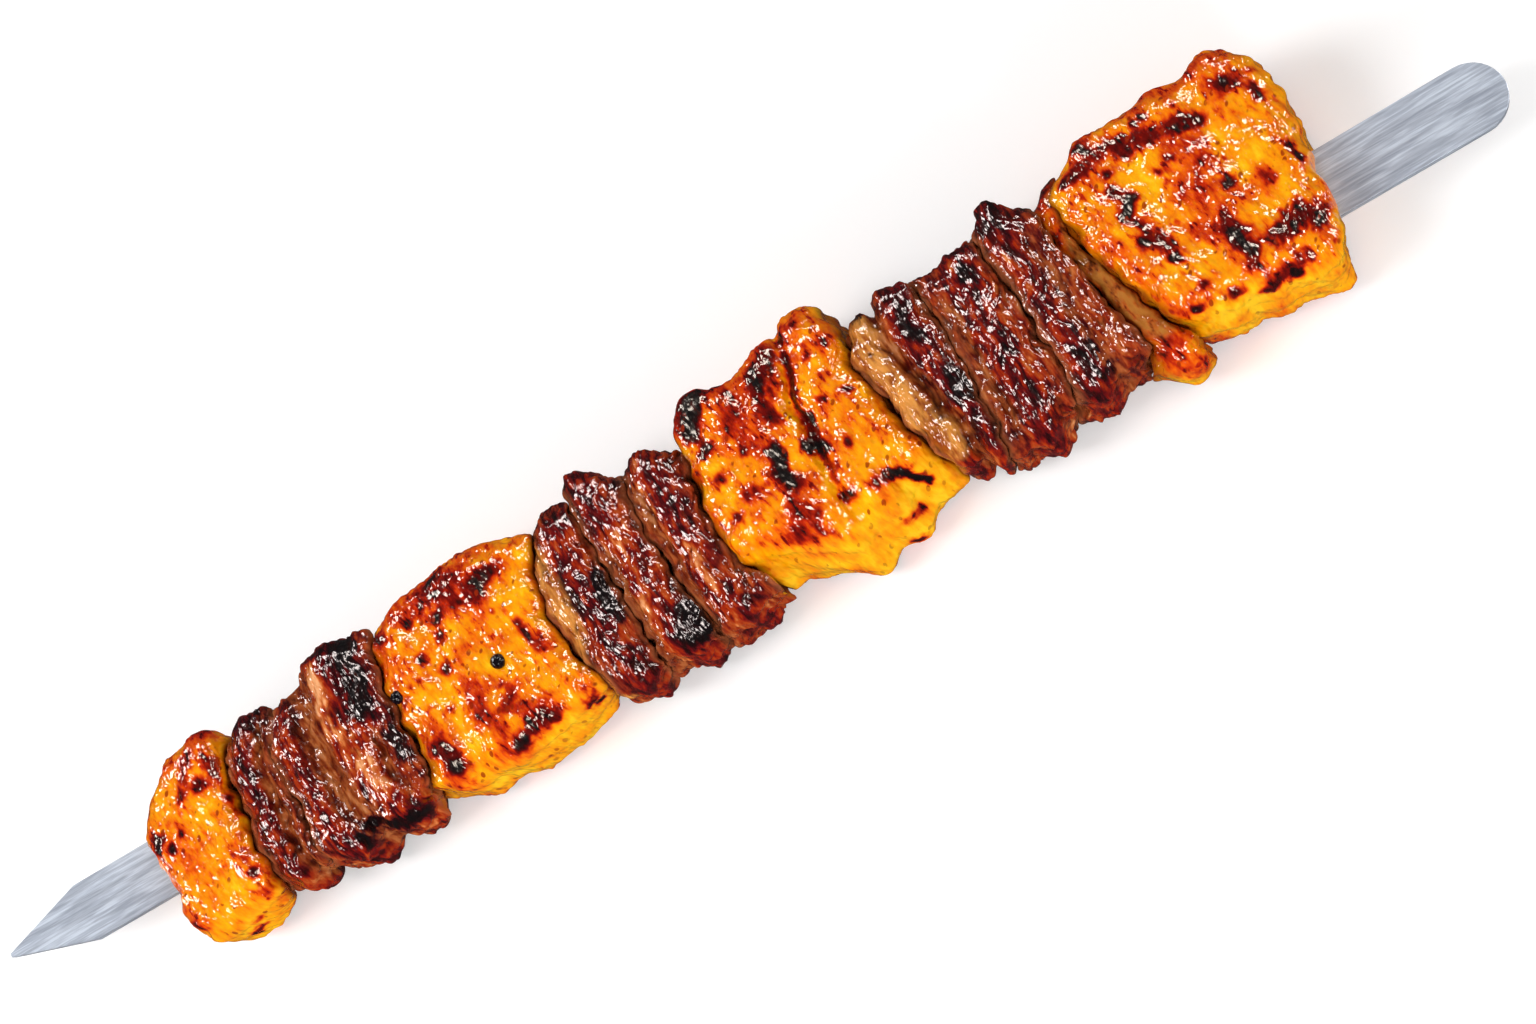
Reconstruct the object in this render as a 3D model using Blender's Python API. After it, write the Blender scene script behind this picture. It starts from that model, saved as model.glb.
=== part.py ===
"""Beef and chicken kebab on a flat steel skewer, lying down with its grilled side up.

Places are in millimetres: x from the point of the blade, y across it (far side positive) and
z up from the surface that the meat lies on. Each piece of meat fills the space between two
seams, the curved surfaces where it is pressed against its neighbours.
"""

from dataclasses import dataclass, field

import bmesh
import bpy
import numpy as np
from mathutils import Vector, noise
from mathutils.bvhtree import BVHTree

MM = 0.001

# Blade: a standard 13 inch flat skewer, about half an inch wide
BLADE_LENGTH = 330.0
BLADE_WIDTH = 13.2
BLADE_SHOULDER_WIDTH = 11.9
BLADE_THICKNESS = 2.0
BLADE_HEIGHT = 14.0
BLADE_POINT = 18.0
BLADE_TIP_WIDTH = 0.8
BLADE_EDGE_BEVEL = 0.35
BLADE_END_STEPS = 16
SLOT_CLEARANCE = 0.3

# Meat, and halfway between its nearest and its farthest place
MIDDLE_Y = 4.96
SEAM_GAP = 0.3
SEAM_LEVEL = 21.0
SMALLEST = 1e-4
FLATTENED = 0.5
RIDGE_FADE = 4.0
CRAG_SIZE = 9.0
FINE_CRAG_SIZE = 4.0
PEPPERCORN_SUNK = 0.35

# Base colour, roughness
FINISHES = {
    "chicken": ((0.86, 0.36, 0.03), 0.35),
    "beef": ((0.16, 0.055, 0.035), 0.38),
}
STEEL = ((0.50, 0.55, 0.60), 0.30)


@dataclass
class Seam:
    """Where two neighbours meet: x at each y, and how far the upper side leans along x."""

    course: list
    lean: float = 0.0


@dataclass
class Ridge:
    """A swelling that runs across the skewer along x at each y. A groove has a negative height."""

    course: list
    width: float
    height: float


@dataclass
class Lump:
    """A rounded swelling or a dent at a place on the upper side."""

    place: tuple
    radius: float
    height: float


@dataclass
class Meat:
    """One piece of meat: its outline on the far and near side, its height and its relief.

    The edge rounds it off towards its neighbours: how far along the skewer this starts, and how
    deep it goes at the sides and on top. The corner is the radius across the skewer and upwards.
    """

    name: str
    kind: str
    far: list
    near: list
    top: float
    bottom: float
    edge: tuple
    corner: tuple
    cuts: tuple
    set_back: float = 0.0
    crag: float = 0.6
    relief: list = field(default_factory=list)


SEAMS = [
    Seam([(-18, 40.2), (-9, 40.6), (0, 40), (4, 40.2), (9, 42.4), (15, 45.5)]),
    Seam([(-18, 60.2), (-10, 59.2), (-1, 59.4), (9, 60.2), (15, 62.5)], 0.30),
    Seam([(-18, 70.4), (-5, 70.1), (2, 69.8), (11, 71.8), (15, 72.8)], 0.17),
    Seam([(-17, 95.6), (-10, 97.2), (-4, 96), (3, 95.3), (10, 96.3), (19, 97.6)], 0.30),
    Seam([(-17, 135.2), (-8, 132), (-1, 131), (7, 131.4), (12, 132.8), (18, 135.3)], 0.16),
    Seam([(-18, 145.9), (-2, 144.9), (11, 144.2), (19, 143.2)], 0.15),
    Seam([(-18, 158.2), (-8, 156.2), (1, 155.1), (9, 154.3), (18, 155.4)], 0.12),
    Seam([(-17, 173.2), (-11, 169.8), (-5, 167.8), (2, 167.2), (9, 167.6), (18, 168.4)], 0.05),
    Seam([(-15, 212.4), (-9, 210), (-2, 207.3), (6, 205.5), (12, 204.5), (20, 205), (28, 203.5)]),
    Seam([(-18, 221), (-8, 221.3), (2, 221.6), (12, 221.3), (22, 220.2)], 0.08),
    Seam([(-16, 236.5), (-6, 236.5), (4, 235.8), (14, 234.8), (23, 234)], 0.18),
    Seam([(-16, 251), (-10, 252), (-3, 250.6), (5, 248.6), (13, 246.6), (24, 246.2)], 0.10),
    Seam([(-18, 263), (-11, 259.2), (-4, 255.8), (4, 253.2), (12, 250.9), (20, 250.4), (28, 253.4)]),
    Seam([(-15, 291.4), (-4, 292.8), (9, 294.6), (20, 295), (27, 294)]),
]

MEATS = [
    Meat("chicken_1", "chicken",
         far=[(42, 12.2), (46, 15.4), (53, 17.4), (58, 16.6), (62, 15)],
         near=[(40, -18.4), (44, -20.2), (48.5, -20.4), (54, -18.8), (60, -17.4)],
         top=26.6, bottom=0.0, edge=(5.5, 2.4, 5), corner=(7, 8), cuts=(6, 10, 8),
         relief=[
             Ridge([(-20, 58.5), (-8, 56.8), (4, 56.8), (16, 58.5)], 2.0, 0.7),
             Ridge([(6, 51), (14, 55)], 1.6, 1.0),
             Lump((42, 1), 3.0, 0.9),
             Lump((57, 16), 2.2, 0.8),
         ]),
    Meat("beef_1a", "beef",
         far=[(62.5, 14.6), (66, 16.4), (69, 16.6), (73, 14.8)],
         near=[(56, -15.8), (60, -16.4), (63, -18), (68, -17.6)],
         top=25.0, bottom=1.4, edge=(3, 1.4, 2.6), corner=(7, 7), cuts=(4, 11, 7),
         relief=[
             Ridge([(-18, 64), (-8, 64.2), (3, 64.2), (14, 66.4)], 1.7, 1.3),
             Ridge([(-16, 67.4), (-8, 67.2), (1, 67.5), (12, 69.6)], 1.0, -1.5),
         ]),
    Meat("beef_1b", "beef",
         far=[(73, 14.8), (79, 16.2), (84, 19.6), (89, 20.4), (92.3, 18.4), (95, 19.5), (98, 18.8)],
         near=[(67, -17.6), (76, -18.8), (80, -17.8), (87.5, -19.6), (91, -18.4), (95, -16.4)],
         top=26.6, bottom=0.5, edge=(3.4, 1.4, 2.8), corner=(7, 7), cuts=(9, 12, 7),
         relief=[
             Ridge([(-18, 76.8), (-8, 75), (1, 75.4), (11, 78)], 1.9, 1.6),
             Ridge([(-17, 82.8), (-8, 80.2), (3, 79.6), (14, 80.2)], 2.3, -2.6),
             Ridge([(-16, 90.2), (-9, 88), (-2, 86), (6, 85.2), (16, 86.4)], 2.6, 1.3),
             Ridge([(2, 91), (10, 91.2), (19, 91.6)], 2.4, 1.2),
             Ridge([(-14, 92), (-4, 91.5)], 0.9, -1.2),
         ]),
    Meat("chicken_2", "chicken",
         far=[(98, 18), (102, 18), (107, 20.4), (114, 21.2), (126, 20.9), (131, 19.2), (135, 19)],
         near=[(92, -15.6), (99, -17.6), (109, -19), (122, -18.4), (127, -17.2), (134, -15.6)],
         top=27.4, bottom=0.0, edge=(5, 1.8, 3.8), corner=(6, 7), cuts=(10, 11, 7),
         relief=[
             Ridge([(-18, 102), (-5, 102.5), (8, 103), (18, 104)], 2.6, 0.9),
             Ridge([(-16, 107.5), (0, 108.5), (14, 109.5)], 1.8, -0.9),
             Ridge([(-18, 113), (0, 114), (18, 116)], 3.0, 0.8),
             Ridge([(-12, 122), (0, 121), (12, 121.6)], 1.8, 0.7),
             Lump((120.5, 15), 3.2, 1.3),
             Lump((115.5, -15.5), 2.6, 0.7),
         ]),
    Meat("beef_2a", "beef",
         far=[(135, 19), (138, 20.6), (143.6, 20.4)],
         near=[(131.5, -15), (136, -18), (140, -18.6), (144, -17.4)],
         top=26.4, bottom=1.0, edge=(3.4, 1.4, 3), corner=(7, 7), cuts=(5, 12, 7),
         relief=[
             Ridge([(-19, 141.6), (-11, 140.6), (-3, 139.2), (6, 138.8), (15, 140.6)], 2.2, 1.2),
         ]),
    Meat("beef_2b", "beef",
         far=[(142.8, 20.8), (146.4, 23.4), (150, 22.4), (154.6, 19.6)],
         near=[(143.5, -17.4), (149.5, -17.2), (155.5, -17.6)],
         top=26.8, bottom=0.8, edge=(3.2, 1.3, 2.6), corner=(7, 7), cuts=(5, 12, 7),
         relief=[
             Ridge([(-19, 152), (-11, 151), (-5, 150.4), (5, 151.4)], 2.3, 1.7),
             Ridge([(-15, 147.4), (-5, 146.8), (6, 147)], 1.1, -1.2),
             Ridge([(8, 148.4), (16, 147.6), (24, 147)], 2.8, 1.0),
         ]),
    Meat("beef_2c", "beef",
         far=[(155.4, 19.2), (159.6, 21.6), (164, 19.4), (168, 17.6)],
         near=[(155.5, -17.8), (160, -18.4), (164, -16.8), (170.4, -15.6)],
         top=26.4, bottom=0.9, edge=(3.2, 1.6, 3), corner=(7, 7), cuts=(5, 12, 7),
         relief=[
             Ridge([(-18, 165.4), (-11, 163), (-3, 161.6), (6, 160.9), (18, 160.8)], 2.2, 1.5),
             Ridge([(-8, 158.2), (4, 157.4), (12, 157.2)], 0.9, -1.0),
         ]),
    Meat("chicken_3", "chicken",
         far=[(168.4, 19.2), (171, 22.6), (175, 24.8), (178, 23.4), (190, 26.2), (198, 28.2), (204, 28.2)],
         near=[(170, -14.6), (175.5, -13.2), (182, -17), (188, -19.8), (192, -17.4), (198, -17.8),
               (203, -14.6), (211, -13.6)],
         top=29.4, bottom=0.0, edge=(5.5, 2.4, 4.6), corner=(6, 7), cuts=(12, 12, 8), set_back=6.0, crag=0.7,
         relief=[
             Lump((173.5, 20.5), 4.0, 1.5),
             Ridge([(-12, 178.5), (4, 177.5), (20, 179)], 3.0, 0.8),
             Ridge([(-12, 184), (0, 183.3), (14, 183.6)], 2.4, 0.9),
             Ridge([(-10, 192.4), (2, 191.8), (10, 191.4), (26, 194.6)], 1.5, -1.6),
             Ridge([(-8, 198.5), (8, 197.5), (22, 199.5)], 3.0, 0.6),
         ]),
    Meat("beef_3a", "beef",
         far=[(205.4, 20.2), (209, 21.6), (211.6, 21.4), (214, 23.8), (220, 23.2)],
         near=[(211, -13.2), (216, -13.2), (220, -15.6)],
         top=27.2, bottom=1.2, edge=(3.6, 1.6, 3), corner=(7, 7), cuts=(6, 12, 7),
         relief=[
             Ridge([(-12, 214), (-6, 212.8), (2, 210.2), (9, 208.2), (20, 208.8)], 2.6, 1.0),
             Ridge([(-12, 216.8), (-5, 216.2), (3, 214), (11, 212), (20, 211.4)], 1.1, -2.0),
             Ridge([(-16, 220), (-9, 219), (1, 217.8), (9, 216.6), (19, 217.4)], 2.2, 1.1),
         ]),
    Meat("beef_3b", "beef",
         far=[(220.4, 23), (224.6, 21.8), (229, 22.2), (234.4, 24)],
         near=[(219.6, -15.6), (222, -16.6), (225, -15.6), (228, -16), (234, -14.2)],
         top=26.6, bottom=0.8, edge=(3.4, 1.1, 2.6), corner=(7, 7), cuts=(6, 12, 7),
         relief=[
             Ridge([(-16, 229.2), (-4, 229), (7, 228.9), (19, 229.8)], 2.8, 1.5),
             Ridge([(-12, 225), (0, 224.4), (12, 224.6)], 1.2, -1.0),
         ]),
    Meat("beef_3c", "beef",
         far=[(234.2, 24.2), (238.6, 27.4), (242.6, 24), (246.4, 22.8)],
         near=[(233.8, -14.4), (240, -14.6), (245, -13.2), (250.2, -13)],
         top=27.6, bottom=0.6, edge=(3.8, 1.6, 3.2), corner=(7, 7), cuts=(6, 12, 7),
         relief=[
             Ridge([(-14, 240.6), (-8, 240.2), (1, 238.6), (11, 237.6), (25, 238.8)], 2.6, 1.3),
             Ridge([(-12, 245.2), (2, 244), (14, 243)], 1.2, -0.8),
         ]),
    Meat("chicken_slice", "chicken",
         far=[(246.4, 23), (250.5, 25.8), (254.6, 27.2)],
         near=[(250.6, -14.8), (253.6, -17), (257.4, -18.8), (260.4, -17.4), (263.6, -14.4)],
         top=23.6, bottom=2.2, edge=(1.5, 1, 1.6), corner=(6, 6), cuts=(3, 12, 6), crag=0.4),
    Meat("chicken_4", "chicken",
         far=[(254, 25.2), (258, 27.2), (270, 28.2), (276, 29.2), (281, 28.2), (286.6, 30.2),
              (293.4, 28.4)],
         near=[(263.4, -12.8), (268, -14), (280.5, -14.8), (283.4, -15.8), (290, -16.8)],
         top=29.8, bottom=0.0, edge=(6, 3, 5), corner=(6, 7), cuts=(12, 12, 8), crag=0.7,
         relief=[
             Ridge([(-10, 262.5), (6, 257.5), (20, 256.5)], 4.0, 0.9),
             Ridge([(-14, 272), (4, 268), (22, 266)], 2.0, -0.7),
             Ridge([(-14, 277), (4, 276), (22, 276)], 2.6, 0.8),
             Ridge([(-12, 284), (4, 282.4), (24, 281.5)], 1.6, -0.9),
             Lump((287, 25), 4.0, 1.0),
             Lump((259.5, 25), 3.4, 0.9),
         ]),
]

# Peppercorns that stick to chicken_2: x, y, diameter
PEPPERCORNS = [(119.5, -2.0, 2.9), (98.6, 2.1, 2.6)]


def through(course, at):
    """Values of a smooth curve through (place, value) points, level past both of its ends."""
    places, values = np.array(course, float).T
    slopes = np.gradient(values, places)
    slopes[0] = slopes[-1] = 0
    at = np.clip(at, places[0], places[-1])
    k = np.clip(np.searchsorted(places, at) - 1, 0, len(places) - 2)
    span = places[k + 1] - places[k]
    f = (at - places[k]) / span
    bend = f * (1 - f) * span * ((1 - f) * slopes[k] - f * slopes[k + 1])
    return values[k] + (3 - 2 * f) * f * f * (values[k + 1] - values[k]) + bend


def smoothstep(value):
    value = np.clip(value, 0, 1)
    return value * value * (3 - 2 * value)


def blend(low, high, share):
    return low + (high - low) * (share + 1) / 2


def seam_x(seam, y, z):
    return through(seam.course, y) + seam.lean * (z - SEAM_LEVEL)


def crags(points, size):
    """Noise from -1 to 1 at each point, uneven over lengths of this size."""
    return np.array([noise.noise(Vector(point) / size) for point in points])


def relief_at(meat, x, y):
    """How far the piece swells out of its plain form, by its ridges and lumps."""
    swell = np.zeros_like(x)
    for form in meat.relief:
        if isinstance(form, Ridge):
            first, last = form.course[0][0], form.course[-1][0]
            inside = smoothstep((y - first) / RIDGE_FADE + 1) * smoothstep((last - y) / RIDGE_FADE + 1)
            aside = (x - through(form.course, y)) / form.width
            swell += form.height * inside * np.exp(-aside * aside)
        else:
            away = np.hypot(x - form.place[0], y - form.place[1]) / form.radius
            swell += form.height * np.exp(-away * away)
    return swell


def unit(ways):
    """Each of these directions at length one. One without a length stays as it is."""
    return ways / np.maximum(np.linalg.norm(ways, axis=1), SMALLEST)[:, None]


def round_section(across, up, half, corner):
    """The outline of a rectangle with round corners, seen along the skewer, at each direction
    given as a point on a square. Returns it with the way it faces."""
    flat = np.stack([across, up], 1) * half
    core = np.clip(flat, corner - half, half - corner)
    facing = unit((flat - core) / corner)
    return core + facing * corner, unit(facing / corner)


def round_off(cube, half, meat):
    """Moves points of a cube onto a block with rounded edges. Returns them as shares of the
    block's half sides, and the way that the surface faces at each."""
    half_x, half_yz = half[0], np.array(half[1:])
    reach = min(meat.edge[0], 0.96 * half_x)
    inset = np.array(meat.edge[1:])
    ring = np.maximum(np.abs(cube[:, 1]), np.abs(cube[:, 2]))
    square = cube[:, 1:] / np.maximum(ring, SMALLEST)[:, None]
    outline, facing = round_section(square[:, 0], square[:, 1], half_yz, np.array(meat.corner))
    band = inset.max() / half_yz.min()
    outward = np.clip((ring - 1 + band) / band, 0, 1)
    endward = np.clip((np.abs(cube[:, 0]) * half_x - half_x + reach) / reach, 0, 1)
    bent = np.maximum(np.hypot(outward, endward), SMALLEST)
    outward, endward = outward / bent, endward / bent
    section = outline - facing * inset * (1 - outward)[:, None]
    section *= np.minimum(ring / (1 - band), 1)[:, None]
    end = np.sign(cube[:, 0])
    x = end * (half_x - reach + reach * endward)
    inner = np.abs(cube[:, 0]) * half_x < half_x - reach
    x = np.where(inner, cube[:, 0] * half_x, x)
    share = np.stack([x / half_x, section[:, 0] / half_yz[0], section[:, 1] / half_yz[1]], 1)
    endward = np.where(inner, 0, endward)
    facing = np.stack([end * endward, facing[:, 0] * outward, facing[:, 1] * outward], 1)
    return share, unit(facing)


def form_points(meat, before, after, cube):
    """Where each point of a cube lies on this piece of meat, in millimetres."""
    far_y = through(meat.far, meat.far[1][0])
    near_y = through(meat.near, meat.near[1][0])
    half_y = (far_y - near_y) / 2
    half_x = (seam_x(after, 0, SEAM_LEVEL) - seam_x(before, 0, SEAM_LEVEL)) / 2
    half_z = (meat.top - meat.bottom) / 2
    share, facing = round_off(cube, (half_x, half_y, half_z), meat)
    z = blend(meat.bottom - FLATTENED, meat.top, share[:, 2])
    y = blend(near_y, far_y, share[:, 1])
    x = blend(seam_x(before, y, z), seam_x(after, y, z), share[:, 0])
    near = through(meat.near, x) + meat.set_back * smoothstep((z - meat.bottom) / (2 * half_z) - 0.2)
    y = blend(near, through(meat.far, x), share[:, 1])
    spots = np.stack([x, y, z], 1)
    swell = relief_at(meat, x, y)
    swell += meat.crag * (crags(spots, CRAG_SIZE) + 0.5 * crags(spots, FINE_CRAG_SIZE))
    across = np.clip(share[:, 0] + facing[:, 0] * swell / half_x, -1, 1)
    y = y + facing[:, 1] * swell
    z = np.maximum(z + facing[:, 2] * swell, meat.bottom)
    low = seam_x(before, y, z) + SEAM_GAP
    high = seam_x(after, y, z) - SEAM_GAP
    return np.stack([blend(low, high, across), y, z], 1)


def cube_grid(cuts):
    """A cube two units a side, cut into a grid of squares along each axis."""
    mesh = bmesh.new()
    bmesh.ops.create_cube(mesh, size=2)
    for axis, count in enumerate(cuts):
        along = [e for e in mesh.edges if abs(e.verts[0].co[axis] - e.verts[1].co[axis]) > SMALLEST]
        bmesh.ops.subdivide_edges(mesh, edges=along, cuts=count - 1, use_grid_fill=True)
    return mesh


def in_scene(point):
    """A place in millimetres from the blade's point, in metres about the middle of the kebab."""
    x, y, z = point
    return Vector(((x - BLADE_LENGTH / 2) * MM, (y - MIDDLE_Y) * MM, z * MM))


def link(mesh, name, collection, material=None):
    """A new object of this bmesh, in this collection."""
    bmesh.ops.triangulate(mesh, faces=mesh.faces)
    bmesh.ops.recalc_face_normals(mesh, faces=mesh.faces)
    if mesh.calc_volume(signed=True) < 0:
        bmesh.ops.reverse_faces(mesh, faces=mesh.faces)
    data = bpy.data.meshes.new(name)
    mesh.to_mesh(data)
    mesh.free()
    if material:
        data.materials.append(material)
    piece = bpy.data.objects.new(name, data)
    collection.objects.link(piece)
    return piece


def make_cutter(mesh, name, cutters):
    cutter = link(mesh, name, cutters)
    cutter.hide_render = True
    cutter.display_type = "WIRE"
    return cutter


def join_by(piece, other, operation):
    step = piece.modifiers.new(other.name, "BOOLEAN")
    step.object = other
    step.operation = operation
    step.solver = "EXACT"


def make_material(name, colour, roughness, metallic=0.0):
    material = bpy.data.materials.new(name)
    material.use_nodes = True
    shader = material.node_tree.nodes["Principled BSDF"]
    shader.inputs["Base Color"].default_value = (*colour, 1)
    shader.inputs["Roughness"].default_value = roughness
    shader.inputs["Metallic"].default_value = metallic
    return material


def make_collection(name, hidden=False):
    collection = bpy.data.collections.new(name)
    bpy.context.scene.collection.children.link(collection)
    collection.hide_render = hidden
    return collection


def blade_shape(grow):
    """The flat blade: a bar with a point at one end and a round end at the other."""
    half = BLADE_WIDTH / 2 + grow
    thick = BLADE_THICKNESS + 2 * grow
    mesh = bmesh.new()
    bmesh.ops.create_cube(mesh, size=1)
    bar_end = BLADE_LENGTH - BLADE_WIDTH / 2
    middle = (BLADE_POINT + bar_end) / 2
    for vertex in mesh.verts:
        x, y, z = vertex.co
        width = 2 * half if x > 0 else BLADE_SHOULDER_WIDTH + 2 * grow
        vertex.co = (middle + x * (bar_end - BLADE_POINT), y * width, BLADE_HEIGHT + z * thick)
    point_face = min(mesh.faces, key=lambda f: f.calc_center_median().x)
    tip = bmesh.ops.extrude_face_region(mesh, geom=[point_face])["geom"]
    for vertex in [v for v in tip if isinstance(v, bmesh.types.BMVert)]:
        vertex.co.x = -grow
        vertex.co.y *= BLADE_TIP_WIDTH / BLADE_SHOULDER_WIDTH
    bmesh.ops.delete(mesh, geom=[point_face], context="FACES_ONLY")
    ends = [f for f in mesh.faces if f.calc_center_median().x > bar_end - SMALLEST]
    for step in range(1, BLADE_END_STEPS // 2 + 1):
        angle = step * np.pi / BLADE_END_STEPS
        new = bmesh.ops.extrude_face_region(mesh, geom=ends)["geom"]
        bmesh.ops.delete(mesh, geom=ends, context="FACES_ONLY")
        ends = [f for f in new if isinstance(f, bmesh.types.BMFace)]
        width = max(np.cos(angle), 0.08)
        for vertex in [v for v in new if isinstance(v, bmesh.types.BMVert)]:
            vertex.co.x = bar_end + half * np.sin(angle)
            vertex.co.y = half * width if vertex.co.y > 0 else -half * width
    return mesh


def make_blade(parts):
    mesh = blade_shape(0)
    flat_edges = [e for e in mesh.edges
                  if abs(e.verts[0].co.z - e.verts[1].co.z) < SMALLEST and len(e.link_faces) == 2
                  and e.calc_face_angle(0) > 1]
    bmesh.ops.bevel(mesh, geom=flat_edges, offset=BLADE_EDGE_BEVEL, offset_type="OFFSET",
                    affect="EDGES", segments=1, profile=0.5, material=-1, clamp_overlap=True)
    for vertex in mesh.verts:
        vertex.co = in_scene(vertex.co)
    colour, roughness = STEEL
    return link(mesh, "skewer", parts, make_material("steel", colour, roughness, metallic=1.0))


def make_slot_cutter(cutters):
    mesh = blade_shape(SLOT_CLEARANCE)
    for vertex in mesh.verts:
        vertex.co = in_scene(vertex.co)
    return make_cutter(mesh, "blade_slot", cutters)


def make_meat(meat, before, after, parts, materials):
    mesh = cube_grid(meat.cuts)
    cube = np.array([vertex.co for vertex in mesh.verts])
    for vertex, point in zip(mesh.verts, form_points(meat, before, after, cube)):
        vertex.co = in_scene(point)
    return link(mesh, meat.name, parts, materials[meat.kind])


def add_peppercorns(chicken, cutters):
    """Joins each peppercorn to the chicken, sunk a little into its upper side."""
    surface = bmesh.new()
    surface.from_mesh(chicken.data)
    tree = BVHTree.FromBMesh(surface)
    surface.free()
    for count, (x, y, diameter) in enumerate(PEPPERCORNS):
        above = in_scene((x, y, 2 * chicken.dimensions.z / MM))
        place = tree.ray_cast(above, Vector((0, 0, -1)))[0]
        corn = bmesh.new()
        bmesh.ops.create_uvsphere(corn, u_segments=8, v_segments=6, radius=diameter / 2 * MM)
        raised = (0.5 - PEPPERCORN_SUNK) * diameter * MM
        bmesh.ops.translate(corn, verts=corn.verts, vec=place + Vector((0, 0, raised)))
        join_by(chicken, make_cutter(corn, f"peppercorn_{count + 1}", cutters), "UNION")


def main():
    for thing in list(bpy.data.objects):
        bpy.data.objects.remove(thing)
    parts = make_collection("kebab_skewer")
    cutters = make_collection("cutters", hidden=True)
    materials = {kind: make_material(kind, *finish) for kind, finish in FINISHES.items()}
    make_blade(parts)
    slot = make_slot_cutter(cutters)
    for meat, before, after in zip(MEATS, SEAMS, SEAMS[1:]):
        piece = make_meat(meat, before, after, parts, materials)
        join_by(piece, slot, "DIFFERENCE")
        if meat.name == "chicken_2":
            bpy.context.view_layer.update()
            add_peppercorns(piece, cutters)


main()
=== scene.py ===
"""A grilled kebab of beef and yellow-marinated chicken on a flat steel blade.

Places are in millimetres, as in the solids: x from the point of the blade, y across it (far side
positive) and z up from the surface that the meat lies on. Each piece of meat fills the space
between two seams, as its solid does, with the wrinkles, crust and oil that the solid leaves out.
"""

from dataclasses import dataclass, field

import bmesh
import bpy
import numpy as np
from bpy.props import FloatProperty, FloatVectorProperty, PointerProperty
from mathutils import Matrix, Vector, noise
from mathutils.bvhtree import BVHTree


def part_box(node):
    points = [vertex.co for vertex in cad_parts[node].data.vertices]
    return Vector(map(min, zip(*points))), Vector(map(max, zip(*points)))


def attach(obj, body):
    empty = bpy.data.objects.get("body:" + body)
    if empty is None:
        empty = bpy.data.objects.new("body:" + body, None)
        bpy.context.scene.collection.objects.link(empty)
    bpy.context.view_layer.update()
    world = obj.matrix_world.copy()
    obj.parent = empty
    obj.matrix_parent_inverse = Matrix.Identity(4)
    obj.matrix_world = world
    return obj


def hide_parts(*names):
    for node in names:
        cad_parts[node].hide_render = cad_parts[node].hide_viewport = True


bl_info = {
    "name": "Beef and chicken kebab",
    "version": (1, 0, 0),
    "blender": (4, 5, 0),
    "location": "View3D > Sidebar > Kebab",
    "description": "Dresses the kebab's solids as grilled, oily meat on a brushed steel blade",
    "category": "Object",
}

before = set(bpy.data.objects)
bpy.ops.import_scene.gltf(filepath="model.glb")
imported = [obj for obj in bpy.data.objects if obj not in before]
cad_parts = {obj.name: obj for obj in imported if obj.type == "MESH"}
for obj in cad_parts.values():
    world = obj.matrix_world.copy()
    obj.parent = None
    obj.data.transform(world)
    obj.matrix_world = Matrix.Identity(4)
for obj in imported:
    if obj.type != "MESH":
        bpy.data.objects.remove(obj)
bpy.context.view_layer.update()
BLADE_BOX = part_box("skewer")

MM = 0.001
BODY = "root"
BLADE_POINT = Vector((BLADE_BOX[0].x, (BLADE_BOX[0].y + BLADE_BOX[1].y) / 2, 0))

# Form of the meat, as in the solids
SEAM_LEVEL = 21.0
SMALLEST = 1e-4
FLATTENED = 0.5
RIDGE_FADE = 4.0
CRAG_SIZE = 9.0
FINE_CRAG_SIZE = 4.0


def rgb(red, green, blue):
    """A colour as a screen shows it, 0 to 255, in the linear light that shaders take."""
    shown = np.array([red, green, blue]) / 255
    return tuple(np.where(shown <= 0.04045, shown / 12.92, ((shown + 0.055) / 1.055) ** 2.4))


@dataclass
class Seam:
    """Where two neighbours meet: x at each y, and how far the upper side leans along x."""

    course: list
    lean: float = 0.0


@dataclass
class Ridge:
    """A swelling that runs across the skewer along x at each y. A groove has a negative height."""

    course: list
    width: float
    height: float


@dataclass
class Lump:
    """A rounded swelling or a dent at a place on the upper side."""

    place: tuple
    radius: float
    height: float


@dataclass
class Mark:
    """Where the grill browned a piece along a path of places: from 0.4 for toasted to 1 for burnt,
    and below PALE where it stayed paler than the rest."""

    heat: float
    radius: float
    path: list


def specks(heat, radius, places):
    """A small mark at each of these places."""
    return [Mark(heat, radius, [place]) for place in places]


@dataclass
class Meat:
    """One piece of meat: its outline on the far and near side, its height, relief and marks."""

    name: str
    kind: str
    far: list
    near: list
    top: float
    bottom: float
    edge: tuple
    corner: tuple
    set_back: float = 0.0
    crag: float = 0.6
    relief: list = field(default_factory=list)
    marks: list = field(default_factory=list)
    fat: list = field(default_factory=list)


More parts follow.
